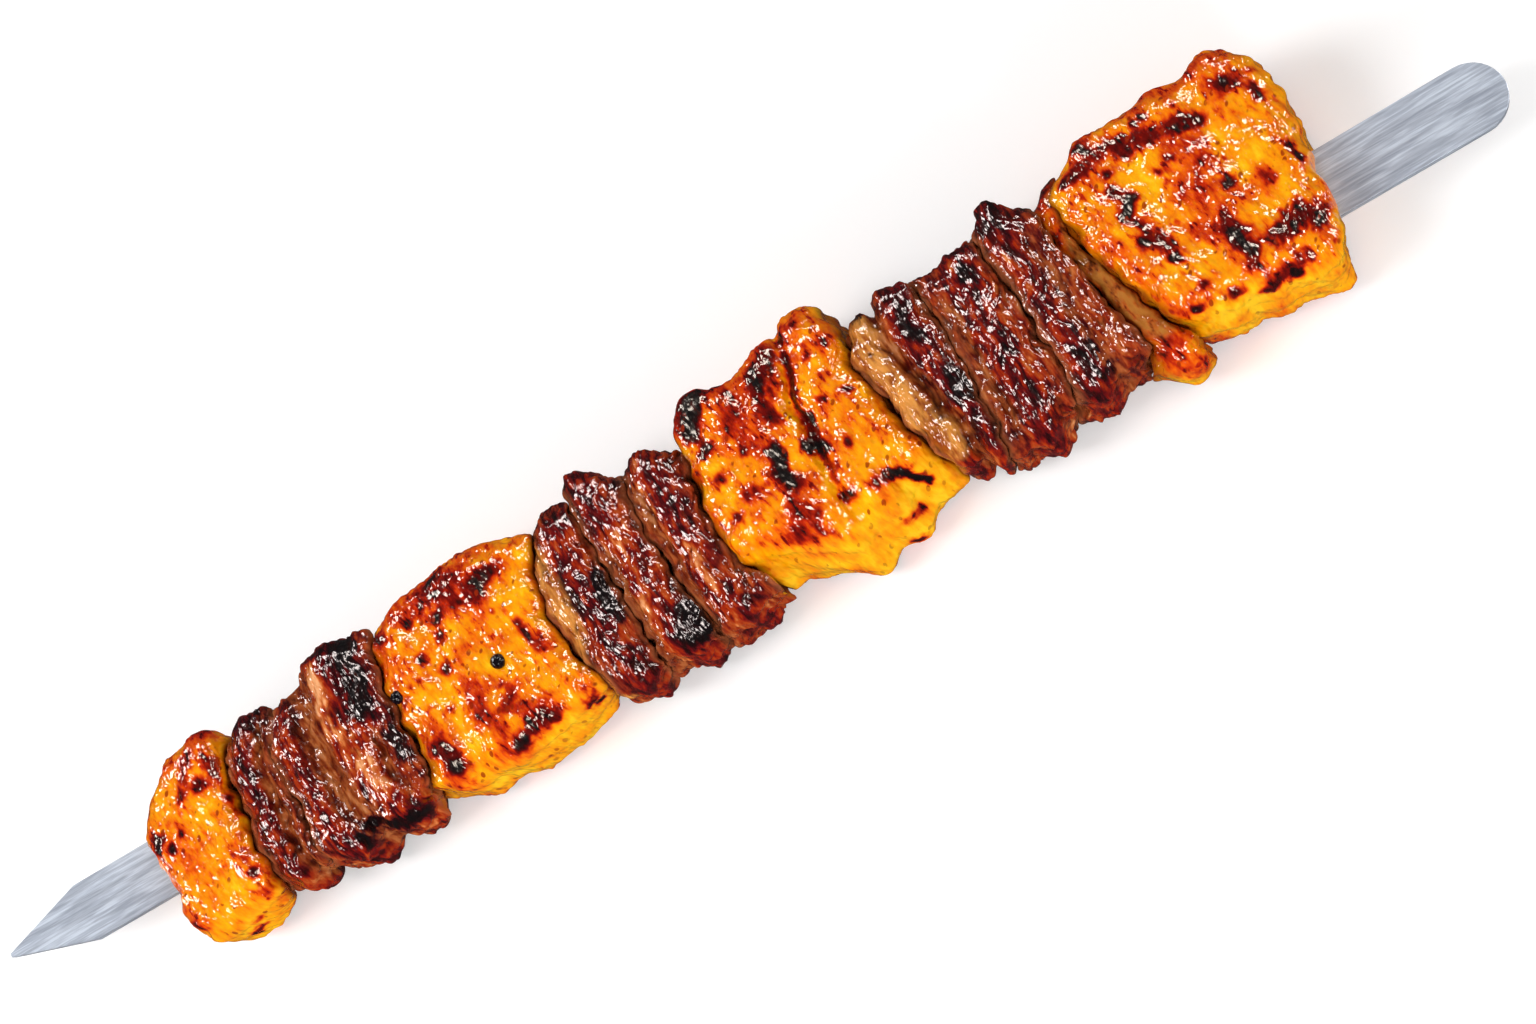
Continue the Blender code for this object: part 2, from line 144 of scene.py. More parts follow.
SEAMS = [
    Seam([(-18, 40.2), (-9, 40.6), (0, 40), (4, 40.2), (9, 42.4), (15, 45.5)]),
    Seam([(-18, 60.2), (-10, 59.2), (-1, 59.4), (9, 60.2), (15, 62.5)], 0.30),
    Seam([(-18, 70.4), (-5, 70.1), (2, 69.8), (11, 71.8), (15, 72.8)], 0.17),
    Seam([(-17, 95.6), (-10, 97.2), (-4, 96), (3, 95.3), (10, 96.3), (19, 97.6)], 0.30),
    Seam([(-17, 135.2), (-8, 132), (-1, 131), (7, 131.4), (12, 132.8), (18, 135.3)], 0.16),
    Seam([(-18, 145.9), (-2, 144.9), (11, 144.2), (19, 143.2)], 0.15),
    Seam([(-18, 158.2), (-8, 156.2), (1, 155.1), (9, 154.3), (18, 155.4)], 0.12),
    Seam([(-17, 173.2), (-11, 169.8), (-5, 167.8), (2, 167.2), (9, 167.6), (18, 168.4)], 0.05),
    Seam([(-15, 212.4), (-9, 210), (-2, 207.3), (6, 205.5), (12, 204.5), (20, 205), (28, 203.5)]),
    Seam([(-18, 221), (-8, 221.3), (2, 221.6), (12, 221.3), (22, 220.2)], 0.08),
    Seam([(-16, 236.5), (-6, 236.5), (4, 235.8), (14, 234.8), (23, 234)], 0.18),
    Seam([(-16, 251), (-10, 252), (-3, 250.6), (5, 248.6), (13, 246.6), (24, 246.2)], 0.10),
    Seam([(-18, 263), (-11, 259.2), (-4, 255.8), (4, 253.2), (12, 250.9), (20, 250.4), (28, 253.4)]),
    Seam([(-15, 291.4), (-4, 292.8), (9, 294.6), (20, 295), (27, 294)]),
]

MEATS = [
    Meat(
        "chicken_1", "chicken", top=26.6, bottom=0.0, edge=(5.5, 2.4, 5), corner=(7, 8),
        far=[(42, 12.2), (46, 15.4), (53, 17.4), (58, 16.6), (62, 15)],
        near=[(40, -18.4), (44, -20.2), (48.5, -20.4), (54, -18.8), (60, -17.4)],
        relief=[
            Ridge([(-20, 58.5), (-8, 56.8), (4, 56.8), (16, 58.5)], 2.0, 0.7),
            Ridge([(6, 51), (14, 55)], 1.6, 1.0), Lump((42, 1), 3.0, 0.9), Lump((57, 16), 2.2, 0.8),
        ],
        marks=[
            Mark(0.72, 1.2, [(53.9, 13.3, 26), (52.3, 10.9, 27), (51.3, 7.5, 27)]),
            Mark(0.72, 1.0, [(50.2, 6.5, 27), (51.9, 6.9, 28), (54.8, 7.7, 27)]),
            Mark(0.66, 1.3, [(57.7, 9.9, 26), (58.4, 6.3, 26)]),
            Mark(0.66, 1.0, [(54.2, 7.4, 27), (57.6, 6.6, 27)]),
            Mark(0.46, 2.6, [(46.9, -0.8, 27), (47, -7.2, 27)]), Mark(0.85, 1.2, [(42.7, 1.5, 26)]),
            *specks(0.85, 0.9, [(57.6, -9.9, 27), (57.7, -12.9, 26)]),
            Mark(0.8, 1.4, [(49.4, -20.1, 14)]), Mark(0.85, 1.4, [(43.2, -16.1, 24)]),
            *specks(0.95, 0.9, [(42.3, 0.2, 26), (45.1, -1.1, 27), (50.6, 6, 28), (47.8, -20.2, 11)]),
            *specks(0.85, 0.7, [(58.7, 2.1, 25), (47.7, 0.5, 27)]),
            *specks(0.66, 1.3, [(57.9, -16.1, 23), (52, -19.4, 18), (59.3, 16.3, 22)]),
        ]),
    Meat(
        "beef_1a", "beef", top=25.0, bottom=1.4, edge=(3, 1.4, 2.6), corner=(7, 7),
        far=[(62.5, 14.6), (66, 16.4), (69, 16.6), (73, 14.8)],
        near=[(56, -15.8), (60, -16.4), (63, -18), (68, -17.6)],
        relief=[
            Ridge([(-18, 64), (-8, 64.2), (3, 64.2), (14, 66.4)], 1.7, 1.3),
            Ridge([(-16, 67.4), (-8, 67.2), (1, 67.5), (12, 69.6)], 1.0, -1.5),
        ],
        marks=[
            Mark(0.6, 1.6, [(64, -16, 24), (64.3, -8, 25), (64.3, 3, 25), (66, 12, 25)]),
        ]),
    Meat(
        "beef_1b", "beef", top=26.6, bottom=0.5, edge=(3.4, 1.4, 2.8), corner=(7, 7),
        far=[(73, 14.8), (79, 16.2), (84, 19.6), (89, 20.4), (92.3, 18.4), (95, 19.5), (98, 18.8)],
        near=[(67, -17.6), (76, -18.8), (80, -17.8), (87.5, -19.6), (91, -18.4), (95, -16.4)],
        relief=[
            Ridge([(-18, 76.8), (-8, 75), (1, 75.4), (11, 78)], 1.9, 1.6),
            Ridge([(-17, 82.8), (-8, 80.2), (3, 79.6), (14, 80.2)], 2.3, -2.6),
            Ridge([(-16, 90.2), (-9, 88), (-2, 86), (6, 85.2), (16, 86.4)], 2.6, 1.3),
            Ridge([(2, 91), (10, 91.2), (19, 91.6)], 2.4, 1.2),
            Ridge([(-14, 92), (-4, 91.5)], 0.9, -1.2),
        ],
        marks=[
            Mark(0.62, 1.8, [(76.9, -17, 24), (75, -8, 27), (75.3, 1, 27), (77.7, 10, 27)]),
            Mark(0.55, 1.8, [(90.5, -15, 25), (87.9, -9, 28), (85.8, -3, 28), (84.5, 6, 28),
                             (85.8, 15, 27)]),
            Mark(1.1, 2.4, [(91.8, 4.6, 27), (91.4, 7.4, 28), (92.4, 10.3, 28), (92.4, 16, 26)]),
            Mark(1.0, 2.2, [(79.7, -16.8, 22.5), (87, -18, 23), (90.9, -18.2, 22)]),
            Mark(0.8, 1.2, [(96.1, -8.2, 26), (93, -3, 26)]),
            Mark(0.68, 3.6, [(78, -17, 21), (84, -18, 20), (92, -18, 20)]),
            Mark(0.7, 3.0, [(90, 19, 22), (88, 14, 27)]),
            Mark(0.2, 1.5, [(84.6, 16, 26), (84, 6, 27), (85.4, -2, 28), (89.4, -11, 27)]),
            Mark(0.9, 0.9, [(96.4, 2, 27), (95, -9, 26)]),
        ]),
    Meat(
        "chicken_2", "chicken", top=27.4, bottom=0.0, edge=(5, 1.8, 3.8), corner=(6, 7),
        far=[(98, 18), (102, 18), (107, 20.4), (114, 21.2), (126, 20.9), (131, 19.2), (135, 19)],
        near=[(92, -15.6), (99, -17.6), (109, -19), (122, -18.4), (127, -17.2), (134, -15.6)],
        relief=[
            Ridge([(-18, 102), (-5, 102.5), (8, 103), (18, 104)], 2.6, 0.9),
            Ridge([(-16, 107.5), (0, 108.5), (14, 109.5)], 1.8, -0.9),
            Ridge([(-18, 113), (0, 114), (18, 116)], 3.0, 0.8),
            Ridge([(-12, 122), (0, 121), (12, 121.6)], 1.8, 0.7), Lump((120.5, 15), 3.2, 1.3),
            Lump((115.5, -15.5), 2.6, 0.7),
        ],
        marks=[
            Mark(0.72, 2.4, [(109.7, 14.8, 26), (113.5, 18.6, 26), (117.7, 14.1, 28)]),
            Mark(0.72, 2.2, [(117.7, 14.1, 28), (121, 11.9, 28)]), Mark(0.98, 1.1, [(113.5, 18.6, 26)]),
            Mark(0.85, 1.6, [(124.4, 14.1, 28)]), Mark(0.9, 1.2, [(112.3, 11.3, 27)]),
            Mark(0.82, 1.2, [(111.5, 8.1, 27)]), Mark(0.82, 0.9, [(100.2, 13.9, 26)]),
            *specks(0.85, 1.0, [(106.5, 6, 28), (109.9, 1.8, 27)]),
            Mark(0.78, 1.9, [(102.1, -9.8, 28), (102.9, -11.9, 28), (102.8, -15.3, 27)]),
            Mark(0.98, 0.9, [(102.8, -15.3, 27)]),
            Mark(0.76, 1.8, [(116.2, -17.2, 26), (119.3, -15.7, 27), (122.2, -15.5, 26)]),
            *specks(1.0, 1.2, [(116.2, -17.2, 26), (131.6, -15.7, 18)]),
            Mark(0.62, 1.4, [(127.5, -3.5, 27)]),
            Mark(0.66, 1.5, [(119.4, -7.6, 27), (117.2, -10.8, 28), (120.3, -12.7, 27)]),
            Mark(0.6, 1.8, [(113.4, -16, 28), (112, -4, 28)]),
            Mark(0.64, 0.8, [(126.3, 2.8, 27), (127.1, -2.3, 27), (129, -4.4, 27)]),
            Mark(0.78, 1.3, [(130.6, -15.9, 21), (130.8, -13, 24)]),
            *specks(0.95, 0.8, [(112.7, 11.7, 27), (103, -15.6, 27), (97.1, -15.9, 21)]),
            *specks(0.82, 0.8, [(113.5, 15.4, 27), (106.7, 13.1, 28), (101.6, 13.2, 27), (106.5, -5.1, 27),
                                (117.7, -6.2, 27), (120.8, 10.6, 28)]),
            *specks(0.76, 1.2, [(119.2, -14.9, 27), (123.6, -16.3, 25)]),
        ]),
    Meat(
        "beef_2a", "beef", top=26.4, bottom=1.0, edge=(3.4, 1.4, 3), corner=(7, 7),
        far=[(135, 19), (138, 20.6), (143.6, 20.4)],
        near=[(131.5, -15), (136, -18), (140, -18.6), (144, -17.4)],
        relief=[
            Ridge([(-19, 141.6), (-11, 140.6), (-3, 139.2), (6, 138.8), (15, 140.6)], 2.2, 1.2),
        ],
        marks=[
            Mark(0.66, 2.4, [(141.7, -18, 22), (140.7, -11, 26), (139.5, -3, 27), (139, 5, 27),
                             (140.8, 14, 27)]),
            Mark(1.05, 1.1, [(143.8, -6.4, 26), (143.1, -1.7, 26), (143.2, 3, 26)]),
        ],
        fat=[(1.6, [(134.8, 12, 25), (134.3, 7.2, 26), (134.3, -3.1, 26), (134.5, -12.6, 22),
                    (137, -17, 18)])]),
    Meat(
        "beef_2b", "beef", top=26.8, bottom=0.8, edge=(3.2, 1.3, 2.6), corner=(7, 7),
        far=[(142.8, 20.8), (146.4, 23.4), (150, 22.4), (154.6, 19.6)],
        near=[(143.5, -17.4), (149.5, -17.2), (155.5, -17.6)],
        relief=[
            Ridge([(-19, 152), (-11, 151), (-5, 150.4), (5, 151.4)], 2.3, 1.7),
            Ridge([(-15, 147.4), (-5, 146.8), (6, 147)], 1.1, -1.2),
            Ridge([(8, 148.4), (16, 147.6), (24, 147)], 2.8, 1.0),
        ],
        marks=[
            Mark(0.6, 1.6, [(151.9, -17, 24), (151, -11, 28), (150.6, -5, 28), (151.6, 6.4, 28)]),
            Mark(1.1, 2.5, [(155.9, -15.6, 24), (155.4, -12.4, 27)]),
            Mark(0.62, 2.0, [(146, 21, 25), (145, 16, 27)]),
            Mark(0.2, 1.1, [(151, 8, 28), (149.5, -5, 28), (148.4, -13, 25)]),
        ]),
    Meat(
        "beef_2c", "beef", top=26.4, bottom=0.9, edge=(3.2, 1.6, 3), corner=(7, 7),
        far=[(155.4, 19.2), (159.6, 21.6), (164, 19.4), (168, 17.6)],
        near=[(155.5, -17.8), (160, -18.4), (164, -16.8), (170.4, -15.6)],
        relief=[
            Ridge([(-18, 165.4), (-11, 163), (-3, 161.6), (6, 160.9), (18, 160.8)], 2.2, 1.5),
            Ridge([(-8, 158.2), (4, 157.4), (12, 157.2)], 0.9, -1.0),
        ],
        marks=[
            Mark(0.66, 1.9, [(164.6, -5, 27), (163.4, 3, 27), (162.2, 10, 27), (162, 17, 26)]),
            Mark(0.7, 1.4, [(166, -15, 23), (164.1, -11.7, 27)]),
            Mark(0.2, 1.2, [(160, 3, 28), (161.8, -5, 27), (163, -10, 27)]),
            Mark(0.18, 1.0, [(158.6, 17, 25), (157, 6, 26)]),
        ]),
    Meat(
        "chicken_3", "chicken", top=29.4, bottom=0.0, edge=(5.5, 2.4, 4.6), corner=(6, 7),
        set_back=6.0, crag=0.7,
        far=[(168.4, 19.2), (171, 22.6), (175, 24.8), (178, 23.4), (190, 26.2), (198, 28.2), (204, 28.2)],
        near=[(170, -14.6), (175.5, -13.2), (182, -17), (188, -19.8), (192, -17.4), (198, -17.8),
              (203, -14.6), (211, -13.6)],
        relief=[
            Lump((173.5, 20.5), 4.0, 1.5), Ridge([(-12, 178.5), (4, 177.5), (20, 179)], 3.0, 0.8),
            Ridge([(-12, 184), (0, 183.3), (14, 183.6)], 2.4, 0.9),
            Ridge([(-10, 192.4), (2, 191.8), (10, 191.4), (26, 194.6)], 1.4, -1.9),
            Ridge([(-8, 198.5), (8, 197.5), (22, 199.5)], 3.0, 0.6),
        ],
        marks=[
            Mark(1.0, 1.7, [(175.8, 21.8, 29), (173.9, 19.4, 30), (172.3, 16.4, 29)]),
            Mark(0.9, 1.5, [(172.9, 12.3, 29)]),
            Mark(1.04, 1.2, [(184.5, 5.6, 30), (184.3, 1.2, 30), (184.4, -2, 30)]),
            Mark(0.8, 1.1, [(184.4, -2.5, 30), (184.5, -8.5, 30), (184.8, -12.1, 28)]),
            Mark(1.02, 1.1, [(190.4, 3.2, 29), (193.4, 1.2, 29)]),
            Mark(0.86, 1.1, [(195.2, 25, 28), (193.6, 18, 29), (192.8, 13.3, 29), (192.2, 8.1, 29),
                             (191.6, 4, 29)]),
            Mark(0.72, 1.0, [(192.1, 8.1, 29), (193, -3.1, 29), (192.5, -9.8, 27)]),
            Mark(0.9, 1.2, [(193, -8.6, 28)]), Mark(0.62, 2.4, [(181.3, -10.1, 28), (182.5, -8.5, 30)]),
            Mark(0.8, 0.9, [(197.6, -8.6, 28), (201.8, -8.3, 27), (204.6, -8.6, 25), (206.1, -10.3, 21)]),
            Mark(1.0, 0.8, [(202.6, -8.4, 27), (205.4, -9.4, 24), (206.6, -11.2, 18)]),
            Mark(0.8, 1.2, [(172.8, 6, 29)]), Mark(0.76, 1.2, [(173.1, -2.2, 29)]),
            Mark(0.7, 1.2, [(177.1, 0.6, 30)]),
            Mark(0.76, 1.3, [(187.4, 18.3, 29), (186.4, 15.2, 29), (187.6, 10.4, 29)]),
            Mark(0.8, 0.8, [(198, -0.4, 30)]), Mark(0.62, 1.2, [(197.8, -15.5, 17), (201.3, -14.6, 14)]),
            Mark(0.58, 4.0, [(190, 22, 28), (182, 14, 29)]),
            Mark(0.76, 1.1, [(191.7, 22.9, 28), (190, 19.5, 29)]),
            Mark(0.8, 1.0, [(187.6, 20.6, 29), (185.9, 17.2, 29), (185.6, 13.8, 30)]),
            *specks(0.82, 0.8, [(197.5, 9.1, 30), (197.2, 17.4, 30), (201.3, 18.1, 30), (178.8, 0.6, 30),
                                (181, 19.5, 29), (179.5, 8, 30), (202, 8.5, 29), (199, 24, 28)]),
            *specks(0.9, 1.4, [(195.8, -17.5, 8)]),
        ]),
    Meat(
        "beef_3a", "beef", top=27.2, bottom=1.2, edge=(3.6, 1.6, 3), corner=(7, 7),
        far=[(205.4, 20.2), (209, 21.6), (211.6, 21.4), (214, 23.8), (220, 23.2)],
        near=[(211, -13.2), (216, -13.2), (220, -15.6)],
        relief=[
            Ridge([(-12, 214), (-6, 212.8), (2, 210.2), (9, 208.2), (20, 208.8)], 2.6, 1.0),
            Ridge([(-12, 216.8), (-5, 216.2), (3, 214), (11, 212), (20, 211.4)], 1.1, -2.0),
            Ridge([(-16, 220), (-9, 219), (1, 217.8), (9, 216.6), (19, 217.4)], 2.2, 1.1),
        ],
        marks=[
            Mark(0.68, 2.0, [(216.6, 16.4, 28), (216, 9, 28), (217.6, 1, 28), (219.2, -6, 27),
                             (220.3, -11.8, 26)]),
            Mark(1.0, 1.2, [(218, 16.4, 28), (217.1, 11.6, 28)]),
            Mark(1.0, 1.2, [(219.4, 1, 27), (219.6, -3, 27)]),
            Mark(0.6, 1.4, [(213, 20, 27), (211, 20, 27)]),
        ],
        fat=[(2.4, [(208.4, 17, 27), (207.6, 8.2, 28), (209.4, 2.1, 28), (211.6, -4.1, 28),
                    (213.4, -9, 26)])]),
    Meat(
        "beef_3b", "beef", top=26.6, bottom=0.8, edge=(3.4, 1.1, 2.6), corner=(7, 7),
        far=[(220.4, 23), (224.6, 21.8), (229, 22.2), (234.4, 24)],
        near=[(219.6, -15.6), (222, -16.6), (225, -15.6), (228, -16), (234, -14.2)],
        relief=[
            Ridge([(-16, 229.2), (-4, 229), (7, 228.9), (19, 229.8)], 2.8, 1.5),
            Ridge([(-12, 225), (0, 224.4), (12, 224.6)], 1.2, -1.0),
        ],
        marks=[
            Mark(0.66, 2.2, [(230.4, 17, 27), (230, 8, 28), (230, 0, 28), (229.6, -9, 28), (229, -13, 26)]),
            Mark(1.0, 1.3, [(230, 16.4, 27)]), Mark(1.0, 1.3, [(231, 4.4, 28), (230.8, 0.6, 28)]),
        ]),
    Meat(
        "beef_3c", "beef", top=27.6, bottom=0.6, edge=(3.8, 1.6, 3.2), corner=(7, 7),
        far=[(234.2, 24.2), (238.6, 27.4), (242.6, 24), (246.4, 22.8)],
        near=[(233.8, -14.4), (240, -14.6), (245, -13.2), (250.2, -13)],
        relief=[
            Ridge([(-14, 240.6), (-8, 240.2), (1, 238.6), (11, 237.6), (25, 238.8)], 2.6, 1.3),
            Ridge([(-12, 245.2), (2, 244), (14, 243)], 1.2, -0.8),
        ],
        marks=[
            Mark(0.64, 2.2, [(239, 22, 28), (240.6, 13, 28), (241.4, 3, 28), (242.9, -5, 28),
                             (244, -10, 26)]),
            Mark(0.85, 1.3, [(238.6, 21.5, 28)]),
            Mark(0.9, 1.4, [(244.4, -11.6, 24), (243.2, -7.6, 28)]),
        ]),
    Meat(
        "chicken_slice", "chicken", top=23.6, bottom=2.2, edge=(1.5, 1, 1.6), corner=(6, 6), crag=0.4,
        far=[(246.4, 23), (250.5, 25.8), (254.6, 27.2)],
        near=[(250.6, -14.8), (253.6, -17), (257.4, -18.8), (260.4, -17.4), (263.6, -14.4)],
        marks=[
            Mark(0.56, 2.6, [(254.5, -16.1, 20), (258.6, -18, 17)]),
            Mark(0.72, 2.0, [(249.9, 24.1, 21), (251.8, 25.6, 20)]),
            Mark(0.62, 3.0, [(252, 20, 23), (251.4, 8, 24), (253, -2, 24), (255.9, -12, 22)]),
        ],
        fat=[(1.8, [(252, 21, 23), (251, 8, 24), (252.8, -2, 24), (255.4, -9.5, 23)])]),
    Meat(
        "chicken_4", "chicken", top=29.8, bottom=0.0, edge=(6, 3, 5), corner=(6, 7), crag=0.7,
        far=[(254, 25.2), (258, 27.2), (270, 28.2), (276, 29.2), (281, 28.2), (286.6, 30.2),
             (293.4, 28.4)],
        near=[(263.4, -12.8), (268, -14), (280.5, -14.8), (283.4, -15.8), (290, -16.8)],
        relief=[
            Ridge([(-10, 262.5), (6, 257.5), (20, 256.5)], 4.0, 0.9),
            Ridge([(-14, 272), (4, 268), (22, 266)], 2.0, -0.7),
            Ridge([(-14, 277), (4, 276), (22, 276)], 2.6, 0.8),
            Ridge([(-12, 284), (4, 282.4), (24, 281.5)], 1.6, -0.9), Lump((287, 25), 4.0, 1.0),
            Lump((259.5, 25), 3.4, 0.9),
        ],
        marks=[
            Mark(1.0, 1.6, [(259.4, 24.2, 30)]), Mark(1.02, 1.6, [(267.5, 20.4, 29)]),
            Mark(0.76, 1.5, [(257, 21, 30), (262.7, 22.4, 29), (271.3, 20.1, 30), (276, 19.4, 30)]),
            Mark(0.8, 1.4, [(276.4, 19.2, 30), (279.4, 18.2, 30)]),
            Mark(1.04, 1.2, [(261.3, 9.8, 30), (262.2, 12, 30)]), Mark(1.0, 1.2, [(261.3, 3.5, 30)]),
            Mark(0.98, 1.1, [(265.1, -1.9, 30)]), Mark(0.76, 0.9, [(266.2, -8.7, 30)]),
            Mark(0.95, 1.3, [(279.3, 5.2, 30)]), Mark(1.0, 1.2, [(275.7, -3.4, 30), (276, -7.8, 30)]),
            Mark(0.8, 1.6, [(275.2, -0.5, 30), (276, -9.5, 30)]), Mark(0.78, 1.4, [(270.7, -12.2, 27)]),
            Mark(0.86, 1.3, [(275.9, -14, 25)]), Mark(1.0, 1.4, [(281, -14.2, 26)]),
            Mark(0.78, 1.4, [(276.5, -13.6, 26), (284, -12.8, 28)]),
            *specks(1.04, 1.3, [(284.8, -7.2, 29), (289.4, -8.6, 29)]),
            Mark(0.78, 1.9, [(282, -8, 29), (284.8, -5.2, 29), (289.4, -7.6, 29)]),
            Mark(1.0, 1.3, [(292, 5.9, 28)]), Mark(0.66, 1.8, [(285.5, 21.8, 30), (288.3, 20.9, 30)]),
            Mark(0.64, 1.6, [(276, 10.8, 31), (275, 6.8, 31)]), Mark(0.66, 1.4, [(285.3, 3.1, 30)]),
            Mark(0.52, 4.0, [(276, 16, 30), (272, 2, 30)]),
            Mark(0.74, 1.1, [(291.1, 18.5, 29), (291.5, 16.3, 29)]),
            Mark(0.72, 1.2, [(261.3, 14.5, 30), (262.3, 6.4, 30), (264, 0.5, 30)]),
            *specks(0.84, 0.8, [(269.4, 23.8, 30), (271.7, 24.1, 30), (261.2, 17.9, 30), (269.5, 13.5, 30),
                                (254.9, 20.4, 29), (278.3, 9, 31), (272.7, 14.6, 30), (292.5, 21.6, 28)]),
            *specks(0.92, 1.0, [(264, -11.3, 28), (292.2, 3.4, 28), (287.2, 21.7, 30)]),
        ]),
]

# Peppercorns that stick to chicken_2: x, y, diameter
PEPPERCORNS = [(119.5, -2.0, 2.9), (98.6, 2.1, 2.6)]
PEPPERCORN_SUNK = 0.35
PEPPERCORN_WRINKLES = 0.05
PEPPERCORN_WRINKLE_SIZES = (0.55, 0.25)
ABOVE_ALL = 60.0

# Wrinkles and fibres: size along x, y and z, height, and whether they meet in creases
GRAIN = {
    "chicken": [
        ((2.6, 5.5, 9.0), 0.34, False),
        ((1.6, 3.0, 6.0), 0.36, True),
        ((1.0, 1.7, 4.0), 0.14, False),
    ],
    "beef": [
        ((2.2, 8.0, 9.0), 0.42, False),
        ((1.4, 3.6, 5.0), 0.60, True),
        ((0.9, 1.6, 3.0), 0.20, False),
    ],
}
GRAIN_HEIGHT = 0.6
GRAIN_ASIDE = {"chicken": 0.45, "beef": 0.9}
GRAIN_BEND = 1.6
GRAIN_BEND_SIZE = 9.0
CREASE_LEVEL = 0.4

# Seams: how far they bend, over what size, and how far the colour at them reaches: painted shade on the
# chicken, brown juice on the beef
SEAM_BEND = 1.3
SEAM_BEND_SIZE = (1.0, 3.4, 6.0)
SEAM_SHADE = 1.2

# Browning: how far it goes on the upper side, on the sides and below, and where painted shade adds to it
GRILLED = {"chicken": (0.28, 0.15, 0.5), "beef": (0.46, 0.44, 0.6)}
PALE = 0.25
# Painted shade as extra browning: on the far side, on the end faces at a share of that, and low down, where
# it is partly the grill's browning
FAR_SHADE_BROWNING = 0.16
END_SHADE_SHARE = 0.5
LOW_TOASTED_AND_SHADE = 0.14
LOW = 8.0
HEAT_PATCHES = 0.16
HEAT_PATCH_SIZE = 5.0
HEAT_ON_RELIEF = 0.10
FACING_RISE = 1.4
GRILL_BAR_GAP = 17.0
GRILL_BAR_HEAT = 0.35
MARK_CORE = 0.35
MARK_EDGE_SIZE = (1.1, 2.8, 2.0)
MARK_EDGE_FINE = 0.8
RIND_EDGE_SIZE = 2.5


def through(course, at):
    """Values of a smooth curve through (place, value) points, level past both of its ends."""
    places, values = np.array(course, float).T
    slopes = np.gradient(values, places)
    slopes[0] = slopes[-1] = 0
    at = np.clip(at, places[0], places[-1])
    k = np.clip(np.searchsorted(places, at) - 1, 0, len(places) - 2)
    span = places[k + 1] - places[k]
    f = (at - places[k]) / span
    bend = f * (1 - f) * span * ((1 - f) * slopes[k] - f * slopes[k + 1])
    return values[k] + (3 - 2 * f) * f * f * (values[k + 1] - values[k]) + bend


def smoothstep(value):
    value = np.clip(value, 0, 1)
    return value * value * (3 - 2 * value)


def blend(low, high, share):
    return low + (high - low) * (share + 1) / 2


def seam_x(seam, y, z):
    return through(seam.course, y) + seam.lean * (z - SEAM_LEVEL)


def crags(points, size):
    """Noise from -1 to 1 at each point, uneven over lengths of this size."""
    return np.array([noise.noise(point) for point in map(Vector, points / size)])


def uneven_seam_x(seam, y, z):
    """The seam with the small bends that the neighbours on both sides of it share."""
    places = np.stack([np.full_like(y, seam.course[0][1]), y, z], 1)
    return seam_x(seam, y, z) + SEAM_BEND * crags(places, np.array(SEAM_BEND_SIZE))


def relief_at(meat, x, y):
    """How far the piece swells out of its plain form, by its ridges and lumps."""
    swell = np.zeros_like(x)
    for form in meat.relief:
        if isinstance(form, Ridge):
            first, last = form.course[0][0], form.course[-1][0]
            inside = smoothstep((y - first) / RIDGE_FADE + 1) * smoothstep((last - y) / RIDGE_FADE + 1)
            aside = (x - through(form.course, y)) / form.width
            swell += form.height * inside * np.exp(-aside * aside)
        else:
            away = np.hypot(x - form.place[0], y - form.place[1]) / form.radius
            swell += form.height * np.exp(-away * away)
    return swell


def unit(ways):
    """Each of these directions at length one. One without a length stays as it is."""
    return ways / np.maximum(np.linalg.norm(ways, axis=1), SMALLEST)[:, None]


def round_section(across, up, half, corner):
    """The outline of a rectangle with round corners, seen along the skewer, at each direction
    given as a point on a square. Returns it with the way it faces."""
    flat = np.stack([across, up], 1) * half
    core = np.clip(flat, corner - half, half - corner)
    facing = unit((flat - core) / corner)
    return core + facing * corner, unit(facing / corner)


def round_off(cube, half, meat):
    """Moves points of a cube onto a block with rounded edges. Returns them as shares of the
    block's half sides, and the way that the surface faces at each."""
    half_x, half_yz = half[0], np.array(half[1:])
    reach = min(meat.edge[0], 0.96 * half_x)
    inset = np.array(meat.edge[1:])
    ring = np.maximum(np.abs(cube[:, 1]), np.abs(cube[:, 2]))
    square = cube[:, 1:] / np.maximum(ring, SMALLEST)[:, None]
    outline, facing = round_section(square[:, 0], square[:, 1], half_yz, np.array(meat.corner))
    band = inset.max() / half_yz.min()
    outward = np.clip((ring - 1 + band) / band, 0, 1)
    endward = np.clip((np.abs(cube[:, 0]) * half_x - half_x + reach) / reach, 0, 1)
    bent = np.maximum(np.hypot(outward, endward), SMALLEST)
    outward, endward = outward / bent, endward / bent
    section = outline - facing * inset * (1 - outward)[:, None]
    section *= np.minimum(ring / (1 - band), 1)[:, None]
    end = np.sign(cube[:, 0])
    x = end * (half_x - reach + reach * endward)
    inner = np.abs(cube[:, 0]) * half_x < half_x - reach
    x = np.where(inner, cube[:, 0] * half_x, x)
    share = np.stack([x / half_x, section[:, 0] / half_yz[0], section[:, 1] / half_yz[1]], 1)
    endward = np.where(inner, 0, endward)
    facing = np.stack([end * endward, facing[:, 0] * outward, facing[:, 1] * outward], 1)
    return share, unit(facing)


def grain_at(kind, spots):
    """How far the fibres and wrinkles stand out at each place."""
    bent = spots + np.outer(crags(spots, GRAIN_BEND_SIZE) * GRAIN_BEND, (1, 0, 0))
    swell = np.zeros(len(spots))
    for size, height, creased in GRAIN[kind]:
        rise = crags(bent, np.array(size))
        swell += height * (2 * np.abs(rise) - CREASE_LEVEL if creased else rise)
    return swell


